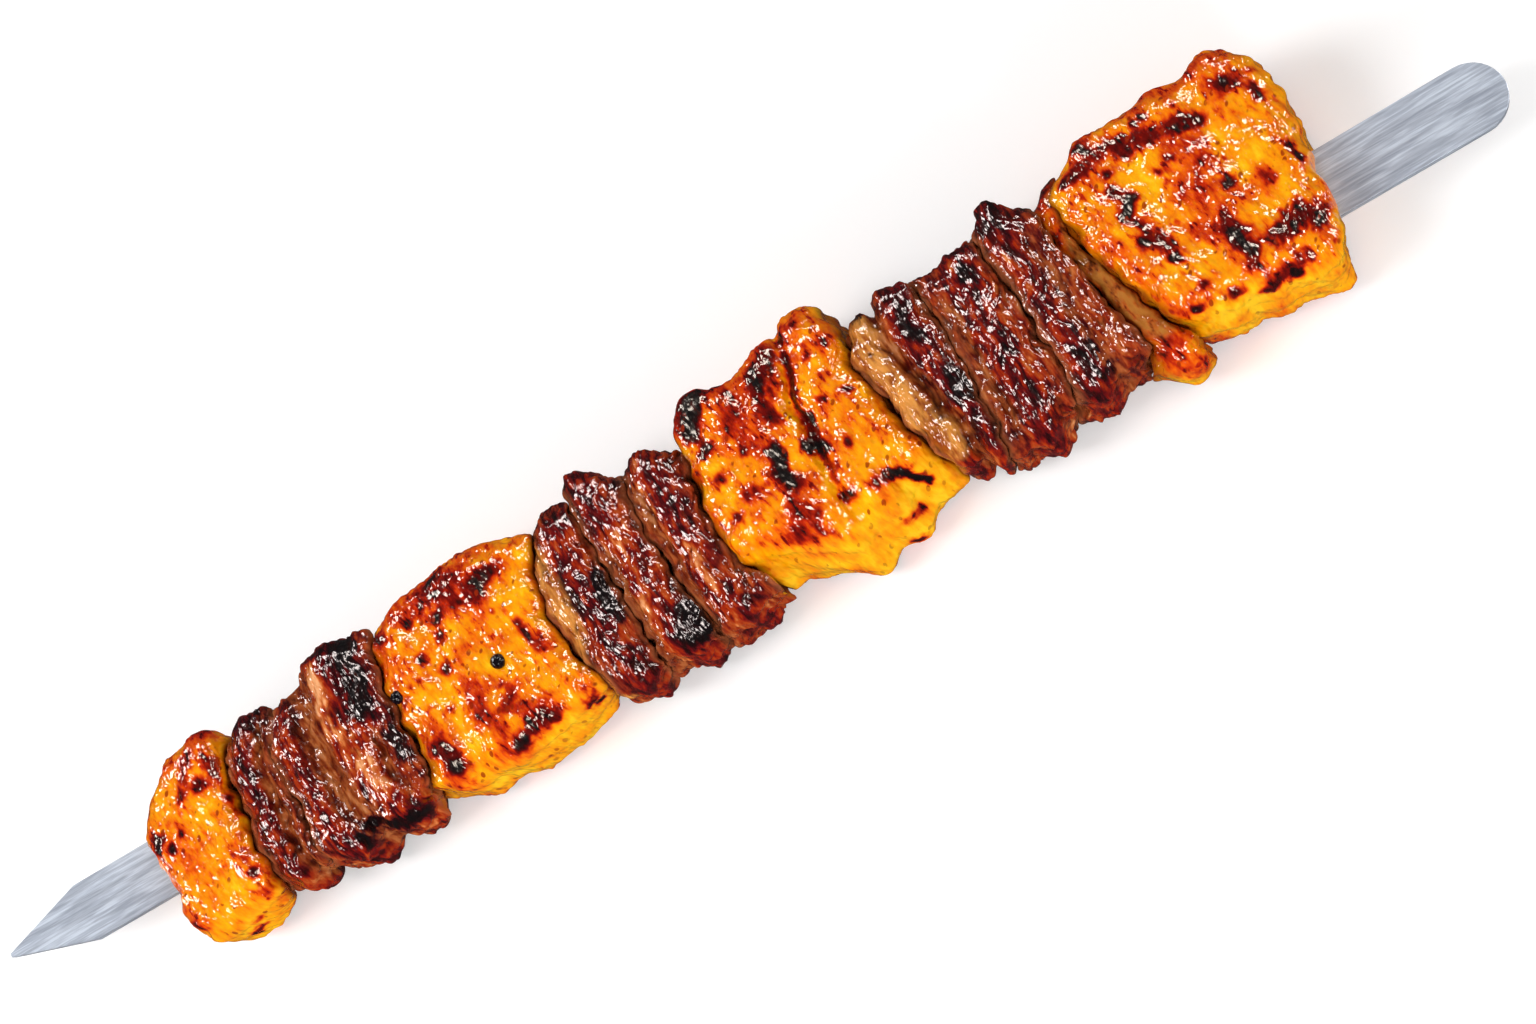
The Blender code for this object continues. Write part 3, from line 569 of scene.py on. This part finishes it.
def path_distance(spots, path):
    """How far each place is from a path through places."""
    path = np.array(path, float)
    if len(path) == 1:
        return np.linalg.norm(spots - path[0], axis=1)
    away = np.full(len(spots), np.inf)
    for start, end in zip(path, path[1:]):
        way = end - start
        along = np.clip((spots - start) @ way / (way @ way), 0, 1)
        away = np.minimum(away, np.linalg.norm(spots - start - along[:, None] * way, axis=1))
    return away


def browning(meat, spots, facing, swell):
    """How far the grill has browned each place, from 0 for raw marinade to 1 for burnt, with painted shade
    added as browning on the far side, the end faces and low down.
    """
    above, aside, below = GRILLED[meat.kind]
    heat = aside + (above - aside) * smoothstep(facing[:, 2] * FACING_RISE)
    heat += (below - aside) * smoothstep(-facing[:, 2] * FACING_RISE)
    # Painted shade: browner on the far side and the end faces, which face away from the soft lights, and
    # low down, partly as the grill's browning
    far = smoothstep(facing[:, 1] * FACING_RISE)
    heat += FAR_SHADE_BROWNING * np.maximum(far, END_SHADE_SHARE * np.abs(facing[:, 0]))
    heat += LOW_TOASTED_AND_SHADE * smoothstep(1 - spots[:, 2] / LOW)
    bars = np.cos(spots[:, 0] * 2 * np.pi / GRILL_BAR_GAP) * smoothstep(-facing[:, 2] * 2 - 0.5)
    heat += GRILL_BAR_HEAT * smoothstep(bars * 2 - 1)
    heat += HEAT_PATCHES * crags(spots + 50, HEAT_PATCH_SIZE) + HEAT_ON_RELIEF * swell
    edges = crags(spots, np.array(MARK_EDGE_SIZE)) * 0.6 + crags(spots, MARK_EDGE_FINE) * 0.25
    for mark in meat.marks:
        away = path_distance(spots, mark.path) / mark.radius
        nearness = np.exp(-np.maximum(away + edges - MARK_CORE, 0) ** 2)
        change = mark.heat - heat
        heat += nearness * (np.minimum(change, 0) if mark.heat < PALE else np.maximum(change, 0))
    return heat


def fattiness(meat, spots):
    """How much of each place is fat: 1 along the rind, 0 away from it."""
    share = np.zeros(len(spots))
    for radius, path in meat.fat:
        away = path_distance(spots, path) / radius + crags(spots, RIND_EDGE_SIZE) * 0.3
        share = np.maximum(share, smoothstep(1.8 - away))
    return share


def form_points(meat, before, after, cube, gap):
    """Where each point of a cube lies on this piece of meat, in millimetres, with its looks: how browned it
    is there, with painted shade added, how fat, how high on the grain, how deep between the ridges,
    and how near to a seam with a neighbour."""
    far_y = through(meat.far, meat.far[1][0])
    near_y = through(meat.near, meat.near[1][0])
    half_y = (far_y - near_y) / 2
    half_x = (seam_x(after, 0, SEAM_LEVEL) - seam_x(before, 0, SEAM_LEVEL)) / 2
    half_z = (meat.top - meat.bottom) / 2
    share, facing = round_off(cube, (half_x, half_y, half_z), meat)
    z = blend(meat.bottom - FLATTENED, meat.top, share[:, 2])
    y = blend(near_y, far_y, share[:, 1])
    x = blend(seam_x(before, y, z), seam_x(after, y, z), share[:, 0])
    near = through(meat.near, x) + meat.set_back * smoothstep((z - meat.bottom) / (2 * half_z) - 0.2)
    y = blend(near, through(meat.far, x), share[:, 1])
    spots = np.stack([x, y, z], 1)
    swell = relief_at(meat, x, y)
    hollow = -swell
    swell = swell + meat.crag * (crags(spots, CRAG_SIZE) + 0.5 * crags(spots, FINE_CRAG_SIZE))
    grain = grain_at(meat.kind, spots)
    grain *= GRAIN_ASIDE[meat.kind] + (1 - GRAIN_ASIDE[meat.kind]) * smoothstep(np.abs(facing[:, 2]) * 1.6)
    swell += grain
    looks = {
        "browning": browning(meat, spots, facing, swell),
        "crest": grain / GRAIN_HEIGHT,
        "hollow": hollow,
        "fat": fattiness(meat, spots),
    }
    open_before, open_after = before is SEAMS[0], after is SEAMS[-1]
    across = share[:, 0] + facing[:, 0] * swell / half_x
    across = np.clip(across, -np.inf if open_before else -1, np.inf if open_after else 1)
    to_before = np.inf if open_before else across + 1
    to_after = np.inf if open_after else 1 - across
    looks["seam"] = np.exp(-np.minimum(to_before, to_after) * half_x / SEAM_SHADE)
    y = y + facing[:, 1] * swell
    z = np.maximum(z + facing[:, 2] * swell, meat.bottom)
    low = uneven_seam_x(before, y, z) + gap
    high = uneven_seam_x(after, y, z) - gap
    return np.stack([blend(low, high, across), y, z], 1), looks


def cube_grid(cuts):
    """A cube two units a side, cut into a grid of squares along each axis."""
    mesh = bmesh.new()
    bmesh.ops.create_cube(mesh, size=2)
    for axis, count in enumerate(cuts):
        along = [e for e in mesh.edges if abs(e.verts[0].co[axis] - e.verts[1].co[axis]) > SMALLEST]
        bmesh.ops.subdivide_edges(mesh, edges=along, cuts=count - 1, use_grid_fill=True)
    return mesh


def in_scene(point):
    """A place in millimetres from the blade's point, in metres in the frame."""
    return BLADE_POINT + Vector(point) * MM


def finished(mesh, name, material, replaced=None):
    """A new object of this bmesh that rides with the kebab, and stands for a node if one is named."""
    data = bpy.data.meshes.new(name)
    mesh.to_mesh(data)
    mesh.free()
    data.shade_smooth()
    data.materials.append(material)
    piece = bpy.data.objects.new(name, data)
    bpy.context.scene.collection.objects.link(piece)
    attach(piece, BODY)
    if replaced:
        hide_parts(replaced)
    return piece


class Value:
    """A socket of numbers. The operators of Python on it add the Math nodes that work them out."""

    def __init__(self, finish, socket):
        self.finish = finish
        self.socket = socket

    def maths(self, operation, *others):
        inputs = {place: value for place, value in enumerate([self, *others])}
        return self.finish.add("Math", {"operation": operation}, inputs)

    def __add__(self, other):
        return self.maths("ADD", other)

    def __sub__(self, other):
        return self.maths("SUBTRACT", other)

    def __mul__(self, other):
        return self.maths("MULTIPLY", other)

    def __rsub__(self, other):
        return self.finish.add("Math", {"operation": "SUBTRACT"}, {0: other, 1: self})

    __radd__ = __add__
    __rmul__ = __mul__

    def rise(self, low, high):
        """0 below low and 1 above high, with a smooth rise between them. High may be below low."""
        inputs = {"Value": self, "From Min": low, "From Max": high}
        return self.finish.add("MapRange", {"interpolation_type": "SMOOTHSTEP"}, inputs)


class Finish:
    """A material under way, around its Principled shader."""

    def __init__(self, name, **constants):
        self.material = bpy.data.materials.new(name)
        self.material.use_nodes = True
        self.nodes = self.material.node_tree.nodes
        self.shader = self.nodes["Principled BSDF"]
        self.give(**constants)
        self.places = self.add("TexCoord", output="Object")

    def set(self, node, socket, value):
        if isinstance(value, Value):
            self.material.node_tree.links.new(value.socket, node.inputs[socket])
        elif isinstance(value, tuple) and node.inputs[socket].type == "RGBA":
            node.inputs[socket].default_value = (*value[:3], 1)
        else:
            node.inputs[socket].default_value = value

    def add(self, kind, settings=None, inputs=None, output=0):
        """A new node, with its settings made first and then its sockets. Returns one output."""
        node = self.nodes.new("ShaderNode" + kind)
        for name, value in (settings or {}).items():
            if name == "stops":
                ramp = node.color_ramp.elements
                ramp.remove(ramp[1])
                ramp[0].position = value[0][0]
                ramp[0].color = (*value[0][1], 1)
                for place, colour in value[1:]:
                    ramp.new(place).color = (*colour, 1)
            else:
                setattr(node, name, value)
        for socket, value in (inputs or {}).items():
            self.set(node, socket, value)
        return Value(self, node.outputs[output])

    def look(self, name):
        """What cook gave each point of the meat, such as its browning with painted shade."""
        return self.add("Attribute", {"attribute_name": name}, output="Fac")

    def stretched(self, size, turn=0.0):
        """The object's places, scaled so that a pattern with scale 1 has this size in millimetres."""
        scale = tuple(length * MM for length in size)
        inputs = {"Vector": self.places, "Rotation": (0, 0, turn), "Scale": scale}
        return self.add("Mapping", {"vector_type": "TEXTURE"}, inputs)

    def noise(self, size, detail=2.0, roughness=0.5, turn=0.0):
        inputs = {"Vector": self.stretched(size, turn), "Scale": 1.0, "Detail": detail,
                  "Roughness": roughness}
        return self.add("TexNoise", {}, inputs)

    def cells(self, size, turn=0.0):
        inputs = {"Vector": self.stretched(size, turn), "Scale": 1.0}
        return self.add("TexVoronoi", {}, inputs, "Distance")

    def mix(self, share, first, second):
        inputs = {"Factor": share, 6: first, 7: second}
        return self.add("Mix", {"data_type": "RGBA"}, inputs, 2)

    def ramp(self, heat, stops):
        return self.add("ValToRGB", {"stops": stops}, {"Fac": heat})

    def bump(self, height, strength, distance, below=None):
        inputs = {"Height": height, "Strength": strength, "Distance": distance}
        if below:
            inputs["Normal"] = below
        return self.add("Bump", {}, inputs)

    def give(self, **sockets):
        for socket, value in sockets.items():
            self.set(self.shader, socket.replace("_", " "), value)
        return self.material


def oily_normal(finish, fibre_size, turn):
    """The fine skin of grilled meat: soft fibres and dimples, wide enough for glints in the oil."""
    fibres = finish.noise(fibre_size, detail=1.0, turn=turn)
    dimples = finish.noise((0.9, 1.05, 2.4), detail=0.0)
    return finish.bump(dimples, 0.45, 0.00045, finish.bump(fibres, 0.5, 0.0009))


def chicken_finish(settings):
    """Oily marinade, yellow where it is soft and red-brown to black where it touched the grill, with
    painted shade in red-brown in the creases and dark brown along the seams.
    """
    finish = Finish("marinated_chicken", IOR=1.5, Specular_IOR_Level=0.42, Subsurface_Weight=0.06,
                    Subsurface_Scale=0.001, Subsurface_Radius=(1.0, 0.5, 0.2),
                    Specular_Tint=(1.0, 0.88, 0.74, 1.0))
    # Browning, with the painted shade that is added as browning on the far side, the ends and low down
    burnt = finish.look("browning")
    crest = finish.look("crest")
    mottle = finish.noise((1.2, 3.0, 6.0), detail=3.0, roughness=0.55, turn=0.25)
    patches = finish.noise((4.5, 5.5, 9.0), detail=3.0)
    spots = finish.cells((2.7, 3.2, 3.0)).rise(0.34, 0.1)
    spots = spots * finish.noise((7.0, 7.0, 7.0)).rise(0.48, 0.6) * burnt.rise(0.15, 0.4)
    unevenness = (patches - 0.5) * 0.6 + (mottle - 0.5) * 0.6
    # Subtracting crest makes the grain's crests yellower and its creases redder: painted light and painted
    # shade
    heat = burnt + unevenness * burnt.rise(1.05, 0.7).maths("MAXIMUM", 0.35) - crest * 0.05
    heat = heat + spots * 0.22 + mottle.rise(0.58, 0.66) * burnt.rise(0.2, 0.45) * 0.14
    colour = finish.ramp(heat, [
        (0.0, rgb(255, 198, 26)),
        (0.14, tuple(settings.marinade)),
        (0.32, rgb(244, 136, 2)),
        (0.46, tuple(settings.toasted)),
        (0.58, rgb(186, 36, 3)),
        (0.70, tuple(settings.browned)),
        (0.86, rgb(50, 4, 6)),
        (0.98, tuple(settings.burnt)),
    ])
    fleck = finish.cells((1.6, 2.8, 5.0), turn=-0.6).rise(0.30, 0.20)
    fleck = fleck * finish.noise((3.0, 3.0, 6.0)).rise(0.48, 0.56)
    fleck = fleck * burnt.rise(0.12, 0.26).maths("MAXIMUM", 0.6)
    colour = finish.mix(fleck * 0.85, colour, rgb(146, 34, 2))
    # Red-brown in the grain's creases where the chicken is browned: painted shade
    colour = finish.mix((0 - crest).rise(0.2, 1.0) * burnt.rise(0.08, 0.3) * 0.45, colour, rgb(150, 34, 0))
    fat = finish.look("fat")
    colour = finish.mix(fat * mottle.rise(0.75, 0.4), colour, rgb(184, 116, 46))
    # Dark brown along the seams with the neighbours: painted shade between the pieces
    seam = finish.look("seam")
    colour = finish.mix(seam.rise(0.2, 1.0) * (1 - fat * 0.6) * 0.85, colour, rgb(128, 44, 4))
    normal = oily_normal(finish, (1.2, 2.1, 5.0), 0.25)
    return finish.give(Base_Color=colour, Roughness=0.14 + heat.rise(0.75, 1.0) * 0.12, Normal=normal)


def beef_finish(settings):
    """Seared beef: brown in the hollows and seams, maroon to black where seared, tan along the fat, and
    near black in the creases of the grain as painted shade.
    """
    finish = Finish("seared_beef", IOR=1.5, Specular_IOR_Level=0.48, Subsurface_Weight=0.04,
                    Subsurface_Scale=0.001, Subsurface_Radius=(1.0, 0.4, 0.3),
                    Specular_Tint=(1.0, 0.88, 0.84, 1.0))
    # Browning, with the painted shade that is added as browning on the far side, the ends and low down
    burnt = finish.look("browning")
    crest = finish.look("crest")
    fat = finish.look("fat")
    hollow = finish.look("hollow")
    strands = finish.noise((1.0, 3.6, 5.0), detail=3.0, roughness=0.55, turn=0.1)
    patches = finish.noise((3.2, 6.0, 8.0), detail=3.0)
    # Subtracting crest makes the grain's crests paler and its creases darker: painted light and painted
    # shade
    heat = burnt + (patches - 0.5) * 0.55 + (0.5 - strands) * 1.1 - crest * 0.2
    colour = finish.ramp(heat, [
        (0.0, rgb(236, 166, 112)),
        (0.16, tuple(settings.beef_flank)),
        (0.32, rgb(174, 68, 22)),
        (0.46, tuple(settings.beef)),
        (0.60, rgb(110, 12, 12)),
        (0.74, tuple(settings.seared)),
        (0.88, rgb(28, 4, 6)),
        (1.0, tuple(settings.burnt)),
    ])
    juice = finish.mix(strands.rise(0.35, 0.65), rgb(84, 32, 8), rgb(160, 88, 46))
    colour = finish.mix(hollow.rise(-0.5, 0.7) * heat.rise(0.8, 0.5) * 0.7, colour, juice)
    rind = finish.mix((strands + patches).rise(0.75, 1.2), rgb(146, 66, 18), tuple(settings.fat))
    colour = finish.mix(fat * heat.rise(1.1, 0.8), colour, rind)
    # Near black in the creases of the grain: painted shade
    colour = finish.mix((0 - crest).rise(0.1, 0.8) * 0.8, colour, rgb(46, 8, 6))
    seam = finish.look("seam")
    colour = finish.mix(seam.rise(0.2, 0.9) * heat.rise(1.0, 0.7) * 0.75, colour, rgb(150, 86, 52))
    normal = oily_normal(finish, (0.8, 2.7, 4.0), 0.1)
    return finish.give(Base_Color=colour, Roughness=0.14 + heat.rise(0.6, 1.0) * 0.06, Normal=normal)


def steel_finish(settings):
    """Stainless steel brushed along the blade."""
    finish = Finish("brushed_blade", Metallic=0.4)
    brushing = finish.noise((9.0, 0.4, 0.4), detail=3.0, roughness=0.6)
    wear = finish.noise((12.0, 1.6, 1.6), detail=3.0)
    colour = finish.mix(brushing.rise(0.35, 0.65), tuple(settings.steel), rgb(208, 216, 228))
    colour = finish.mix(wear.rise(0.6, 0.4) * 0.35, colour, rgb(110, 114, 130))
    normal = finish.bump(brushing, 0.3, 0.0001)
    return finish.give(Base_Color=colour, Roughness=0.32 + brushing * 0.06, Normal=normal)


def pepper_finish():
    """Black peppercorn with a wrinkled skin."""
    finish = Finish("peppercorn", Specular_IOR_Level=0.15)
    wrinkle = finish.cells((0.6, 0.6, 0.6))
    colour = finish.mix(wrinkle, rgb(20, 14, 22), rgb(6, 4, 8))
    normal = finish.bump(wrinkle, 0.3, 0.0002)
    return finish.give(Base_Color=colour, Roughness=0.14 + wrinkle * 0.06, Normal=normal)


def cook(meat, before, after, material, settings):
    """Makes one piece of meat and gives each of its points its looks, for the finish to read."""
    cell = settings.mesh_cell / MM
    width = through(meat.far, meat.far[1][0]) - through(meat.near, meat.near[1][0])
    length = seam_x(after, 0, SEAM_LEVEL) - seam_x(before, 0, SEAM_LEVEL)
    mesh = cube_grid([max(4, round(side / cell)) for side in (length, width, meat.top - meat.bottom)])
    cube = np.array([vertex.co for vertex in mesh.verts])
    points, looks = form_points(meat, before, after, cube, settings.seam_gap / MM)
    piece = finished(mesh, meat.name + "_cooked", material, meat.name)
    placed = points * MM + np.array(BLADE_POINT)
    piece.data.vertices.foreach_set("co", placed.astype(np.float32).ravel())
    for name, values in looks.items():
        layer = piece.data.attributes.new(name, "FLOAT", "POINT")
        layer.data.foreach_set("value", values.astype(np.float32))
    piece.data.update()
    return piece


def cook_kind(kind, material, settings):
    return [cook(meat, before, after, material, settings)
            for meat, before, after in zip(MEATS, SEAMS, SEAMS[1:]) if meat.kind == kind]


class KebabSettings(bpy.types.PropertyGroup):
    """The sizes and colours of the kebab that a user would change."""

    mesh_cell: FloatProperty(
        name="Mesh cell", description="Size of the squares that the meat's surface is made of",
        default=0.00036, min=0.0003, unit="LENGTH")
    seam_gap: FloatProperty(
        name="Seam gap", description="Room that each piece leaves to a seam with its neighbour",
        default=0.00006, min=0.0, unit="LENGTH")
    marinade: FloatVectorProperty(
        name="Marinade", description="Chicken where the grill has not browned it",
        default=rgb(253, 172, 6), subtype="COLOR")
    toasted: FloatVectorProperty(
        name="Toasted", description="Chicken that is toasted orange",
        default=rgb(226, 84, 3), subtype="COLOR")
    browned: FloatVectorProperty(
        name="Browned", description="Chicken that is browned dark red",
        default=rgb(112, 10, 6), subtype="COLOR")
    burnt: FloatVectorProperty(
        name="Burnt", description="Crust that is burnt black",
        default=rgb(16, 10, 12), subtype="COLOR")
    beef_flank: FloatVectorProperty(
        name="Beef flank", description="Beef on its sides, away from the grill",
        default=rgb(214, 120, 60), subtype="COLOR")
    beef: FloatVectorProperty(
        name="Beef", description="Grilled beef", default=rgb(158, 38, 4), subtype="COLOR")
    seared: FloatVectorProperty(
        name="Seared", description="Beef seared on its crests", default=rgb(66, 6, 12), subtype="COLOR")
    fat: FloatVectorProperty(
        name="Fat", description="Rind of fat on the beef", default=rgb(220, 146, 66), subtype="COLOR")
    steel: FloatVectorProperty(
        name="Steel", description="Brushed blade", default=rgb(172, 180, 194), subtype="COLOR")
    floor: FloatVectorProperty(
        name="Floor", description="Pale floor below the kebab", default=(0.9, 0.9, 0.9), subtype="COLOR")
    soft_light: FloatProperty(
        name="Soft light", description="Power of each light that shapes the meat", default=2.8, min=0.0,
        unit="POWER")
    sheen: FloatProperty(
        name="Sheen", description="Power of each lamp that is mirrored in the oil", default=7.6, min=0.0,
        unit="POWER")


class KEBAB_OT_chicken(bpy.types.Operator):
    """Make the marinated chicken"""

    bl_idname = "kebab.chicken"
    bl_label = "Chicken"

    def execute(self, context):
        settings = context.scene.kebab
        cook_kind("chicken", chicken_finish(settings), settings)
        return {"FINISHED"}


class KEBAB_OT_beef(bpy.types.Operator):
    """Make the seared beef"""

    bl_idname = "kebab.beef"
    bl_label = "Beef"

    def execute(self, context):
        settings = context.scene.kebab
        cook_kind("beef", beef_finish(settings), settings)
        return {"FINISHED"}


class KEBAB_OT_peppercorns(bpy.types.Operator):
    """Set the peppercorns into the chicken they stick to"""

    bl_idname = "kebab.peppercorns"
    bl_label = "Peppercorns"

    def execute(self, context):
        chicken = bpy.data.objects.get("chicken_2_cooked")
        if chicken is None:
            raise RuntimeError("make the chicken before the peppercorns")
        surface = bmesh.new()
        surface.from_mesh(chicken.data)
        tree = BVHTree.FromBMesh(surface)
        surface.free()
        mesh = bmesh.new()
        broad, fine = PEPPERCORN_WRINKLE_SIZES
        for x, y, diameter in PEPPERCORNS:
            place = tree.ray_cast(in_scene((x, y, ABOVE_ALL)), Vector((0, 0, -1)))[0]
            made = bmesh.ops.create_icosphere(mesh, subdivisions=5, radius=diameter / 2 * MM)["verts"]
            for vertex in made:
                spot = vertex.co / MM
                wrinkle = noise.noise(spot / broad) + 0.5 * noise.noise(spot / fine)
                vertex.co *= 1 + PEPPERCORN_WRINKLES * wrinkle
            middle = place + Vector((0, 0, (0.5 - PEPPERCORN_SUNK) * diameter * MM))
            bmesh.ops.translate(mesh, verts=made, vec=middle)
        finished(mesh, "peppercorns", pepper_finish())
        return {"FINISHED"}


class KEBAB_OT_blade(bpy.types.Operator):
    """Brush the steel of the blade"""

    bl_idname = "kebab.blade"
    bl_label = "Blade"

    def execute(self, context):
        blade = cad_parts["skewer"]
        blade.data.materials.clear()
        blade.data.materials.append(steel_finish(context.scene.kebab))
        return {"FINISHED"}


# Camera: what it looks at, how far away it is, and how it is turned
CAMERA_AIM = (175.37, 0.12, 14.0)
CAMERA_DISTANCE = 566.72
CAMERA_TURN = np.radians(10.0)
CAMERA_HEIGHT = np.radians(75.0)
CAMERA_ROLL = np.radians(30.428)
CAMERA_LENS = 70.925

# Light: the way to each lamp from the kebab, sizes and distance in metres, and how bright the rest is
SOFT_LIGHT_WAYS = [(-0.5, 0.0, 0.85), (0.1, -0.85, 0.5)]
SOFT_LIGHT_SIZE = 0.35
SHEEN_WAYS = [(-0.6, 0.7, 0.35), (0.7, 0.6, 0.35), (-0.95, -0.1, 0.35), (0.95, -0.2, 0.35),
              (0.1, -0.75, 0.6), (0.3, 0.75, 0.6)]
SHEEN_SIZE = 0.32
LIGHT_DISTANCE = 0.85
WORLD_LIGHT = 0.66
WORLD_MIRRORED = 0.035
FLOOR_SIZE = 3.0
FLOOR_GLOW = 0.2


def toward(turn, height):
    """The direction to a place at this turn round the kebab and this height above it."""
    return Vector((np.sin(turn), -np.cos(turn) * np.cos(height), np.cos(turn) * np.sin(height)))


def set_light(name, way, size, power, glossy):
    """A round lamp. It either lights surfaces or is only mirrored in what is glossy."""
    data = bpy.data.lights.new(name, "AREA")
    data.shape = "DISK"
    data.size = size
    data.energy = power
    light = bpy.data.objects.new(name, data)
    way = Vector(way).normalized()
    light.location = in_scene(CAMERA_AIM) + way * LIGHT_DISTANCE
    light.rotation_euler = way.to_track_quat("Z", "Y").to_euler()
    light.visible_glossy = glossy
    light.visible_diffuse = not glossy
    bpy.context.scene.collection.objects.link(light)


def set_world(scene):
    """Even white light from all round, which shows less in the oil than the lamps do."""
    world = bpy.data.worlds.new("studio")
    world.use_nodes = True
    tree = world.node_tree
    rays = tree.nodes.new("ShaderNodeLightPath")
    strength = tree.nodes.new("ShaderNodeMapRange")
    strength.inputs["To Min"].default_value = WORLD_LIGHT
    strength.inputs["To Max"].default_value = WORLD_MIRRORED
    tree.links.new(rays.outputs["Is Glossy Ray"], strength.inputs["Value"])
    background = tree.nodes["Background"]
    background.inputs["Color"].default_value = (1, 1, 1, 1)
    tree.links.new(strength.outputs["Result"], background.inputs["Strength"])
    scene.world = world


class KEBAB_OT_stage(bpy.types.Operator):
    """Set the floor, the lights and the camera"""

    bl_idname = "kebab.stage"
    bl_label = "Stage"

    def execute(self, context):
        settings = context.scene.kebab
        scene = context.scene
        for kind in ("Cube", "Light", "Camera"):
            startup = bpy.data.objects.get(kind)
            if startup:
                bpy.data.objects.remove(startup)
        mesh = bmesh.new()
        bmesh.ops.create_grid(mesh, x_segments=1, y_segments=1, size=FLOOR_SIZE)
        data = bpy.data.meshes.new("floor")
        mesh.to_mesh(data)
        mesh.free()
        finish = Finish("pale_floor", Roughness=0.9, Specular_IOR_Level=0.0,
                        Emission_Strength=FLOOR_GLOW, Emission_Color=(1, 1, 1, 1))
        data.materials.append(finish.give(Base_Color=tuple(settings.floor)))
        floor = bpy.data.objects.new("floor", data)
        scene.collection.objects.link(floor)
        floor.visible_glossy = False
        for number, way in enumerate(SOFT_LIGHT_WAYS, 1):
            set_light(f"soft_light_{number}", way, SOFT_LIGHT_SIZE, settings.soft_light, False)
        for number, way in enumerate(SHEEN_WAYS, 1):
            set_light(f"sheen_{number}", way, SHEEN_SIZE, settings.sheen, True)
        set_world(scene)
        scene.view_settings.view_transform = "Standard"
        back = toward(CAMERA_TURN, CAMERA_HEIGHT)
        level = (Vector((1, 0, 0)) - back * back.x).normalized()
        upright = Matrix((level, back.cross(level), back)).transposed()
        lens = bpy.data.cameras.new("camera")
        lens.lens = CAMERA_LENS
        camera = bpy.data.objects.new("camera", lens)
        rolled = upright @ Matrix.Rotation(-CAMERA_ROLL, 3, "Z")
        place = in_scene(CAMERA_AIM) + back * CAMERA_DISTANCE * MM
        camera.matrix_world = Matrix.Translation(place) @ rolled.to_4x4()
        scene.collection.objects.link(camera)
        scene.camera = camera
        return {"FINISHED"}


OPERATORS = [KEBAB_OT_chicken, KEBAB_OT_beef, KEBAB_OT_peppercorns, KEBAB_OT_blade, KEBAB_OT_stage]


class KEBAB_PT_panel(bpy.types.Panel):
    """Lists the kebab's pieces and its settings"""

    bl_idname = "KEBAB_PT_panel"
    bl_label = "Kebab"
    bl_space_type = "VIEW_3D"
    bl_region_type = "UI"
    bl_category = "Kebab"

    def draw(self, context):
        for name in KebabSettings.__annotations__:
            self.layout.prop(context.scene.kebab, name)
        for operator in OPERATORS:
            self.layout.operator(operator.bl_idname)


def register():
    for kind in (KebabSettings, *OPERATORS, KEBAB_PT_panel):
        bpy.utils.register_class(kind)
    bpy.types.Scene.kebab = PointerProperty(type=KebabSettings)


def unregister():
    del bpy.types.Scene.kebab
    for kind in (KEBAB_PT_panel, *reversed(OPERATORS), KebabSettings):
        bpy.utils.unregister_class(kind)


def main():
    register()
    bpy.ops.kebab.chicken()
    bpy.ops.kebab.beef()
    bpy.ops.kebab.peppercorns()
    bpy.ops.kebab.blade()
    bpy.ops.kebab.stage()


if __name__ == "__main__":
    main()
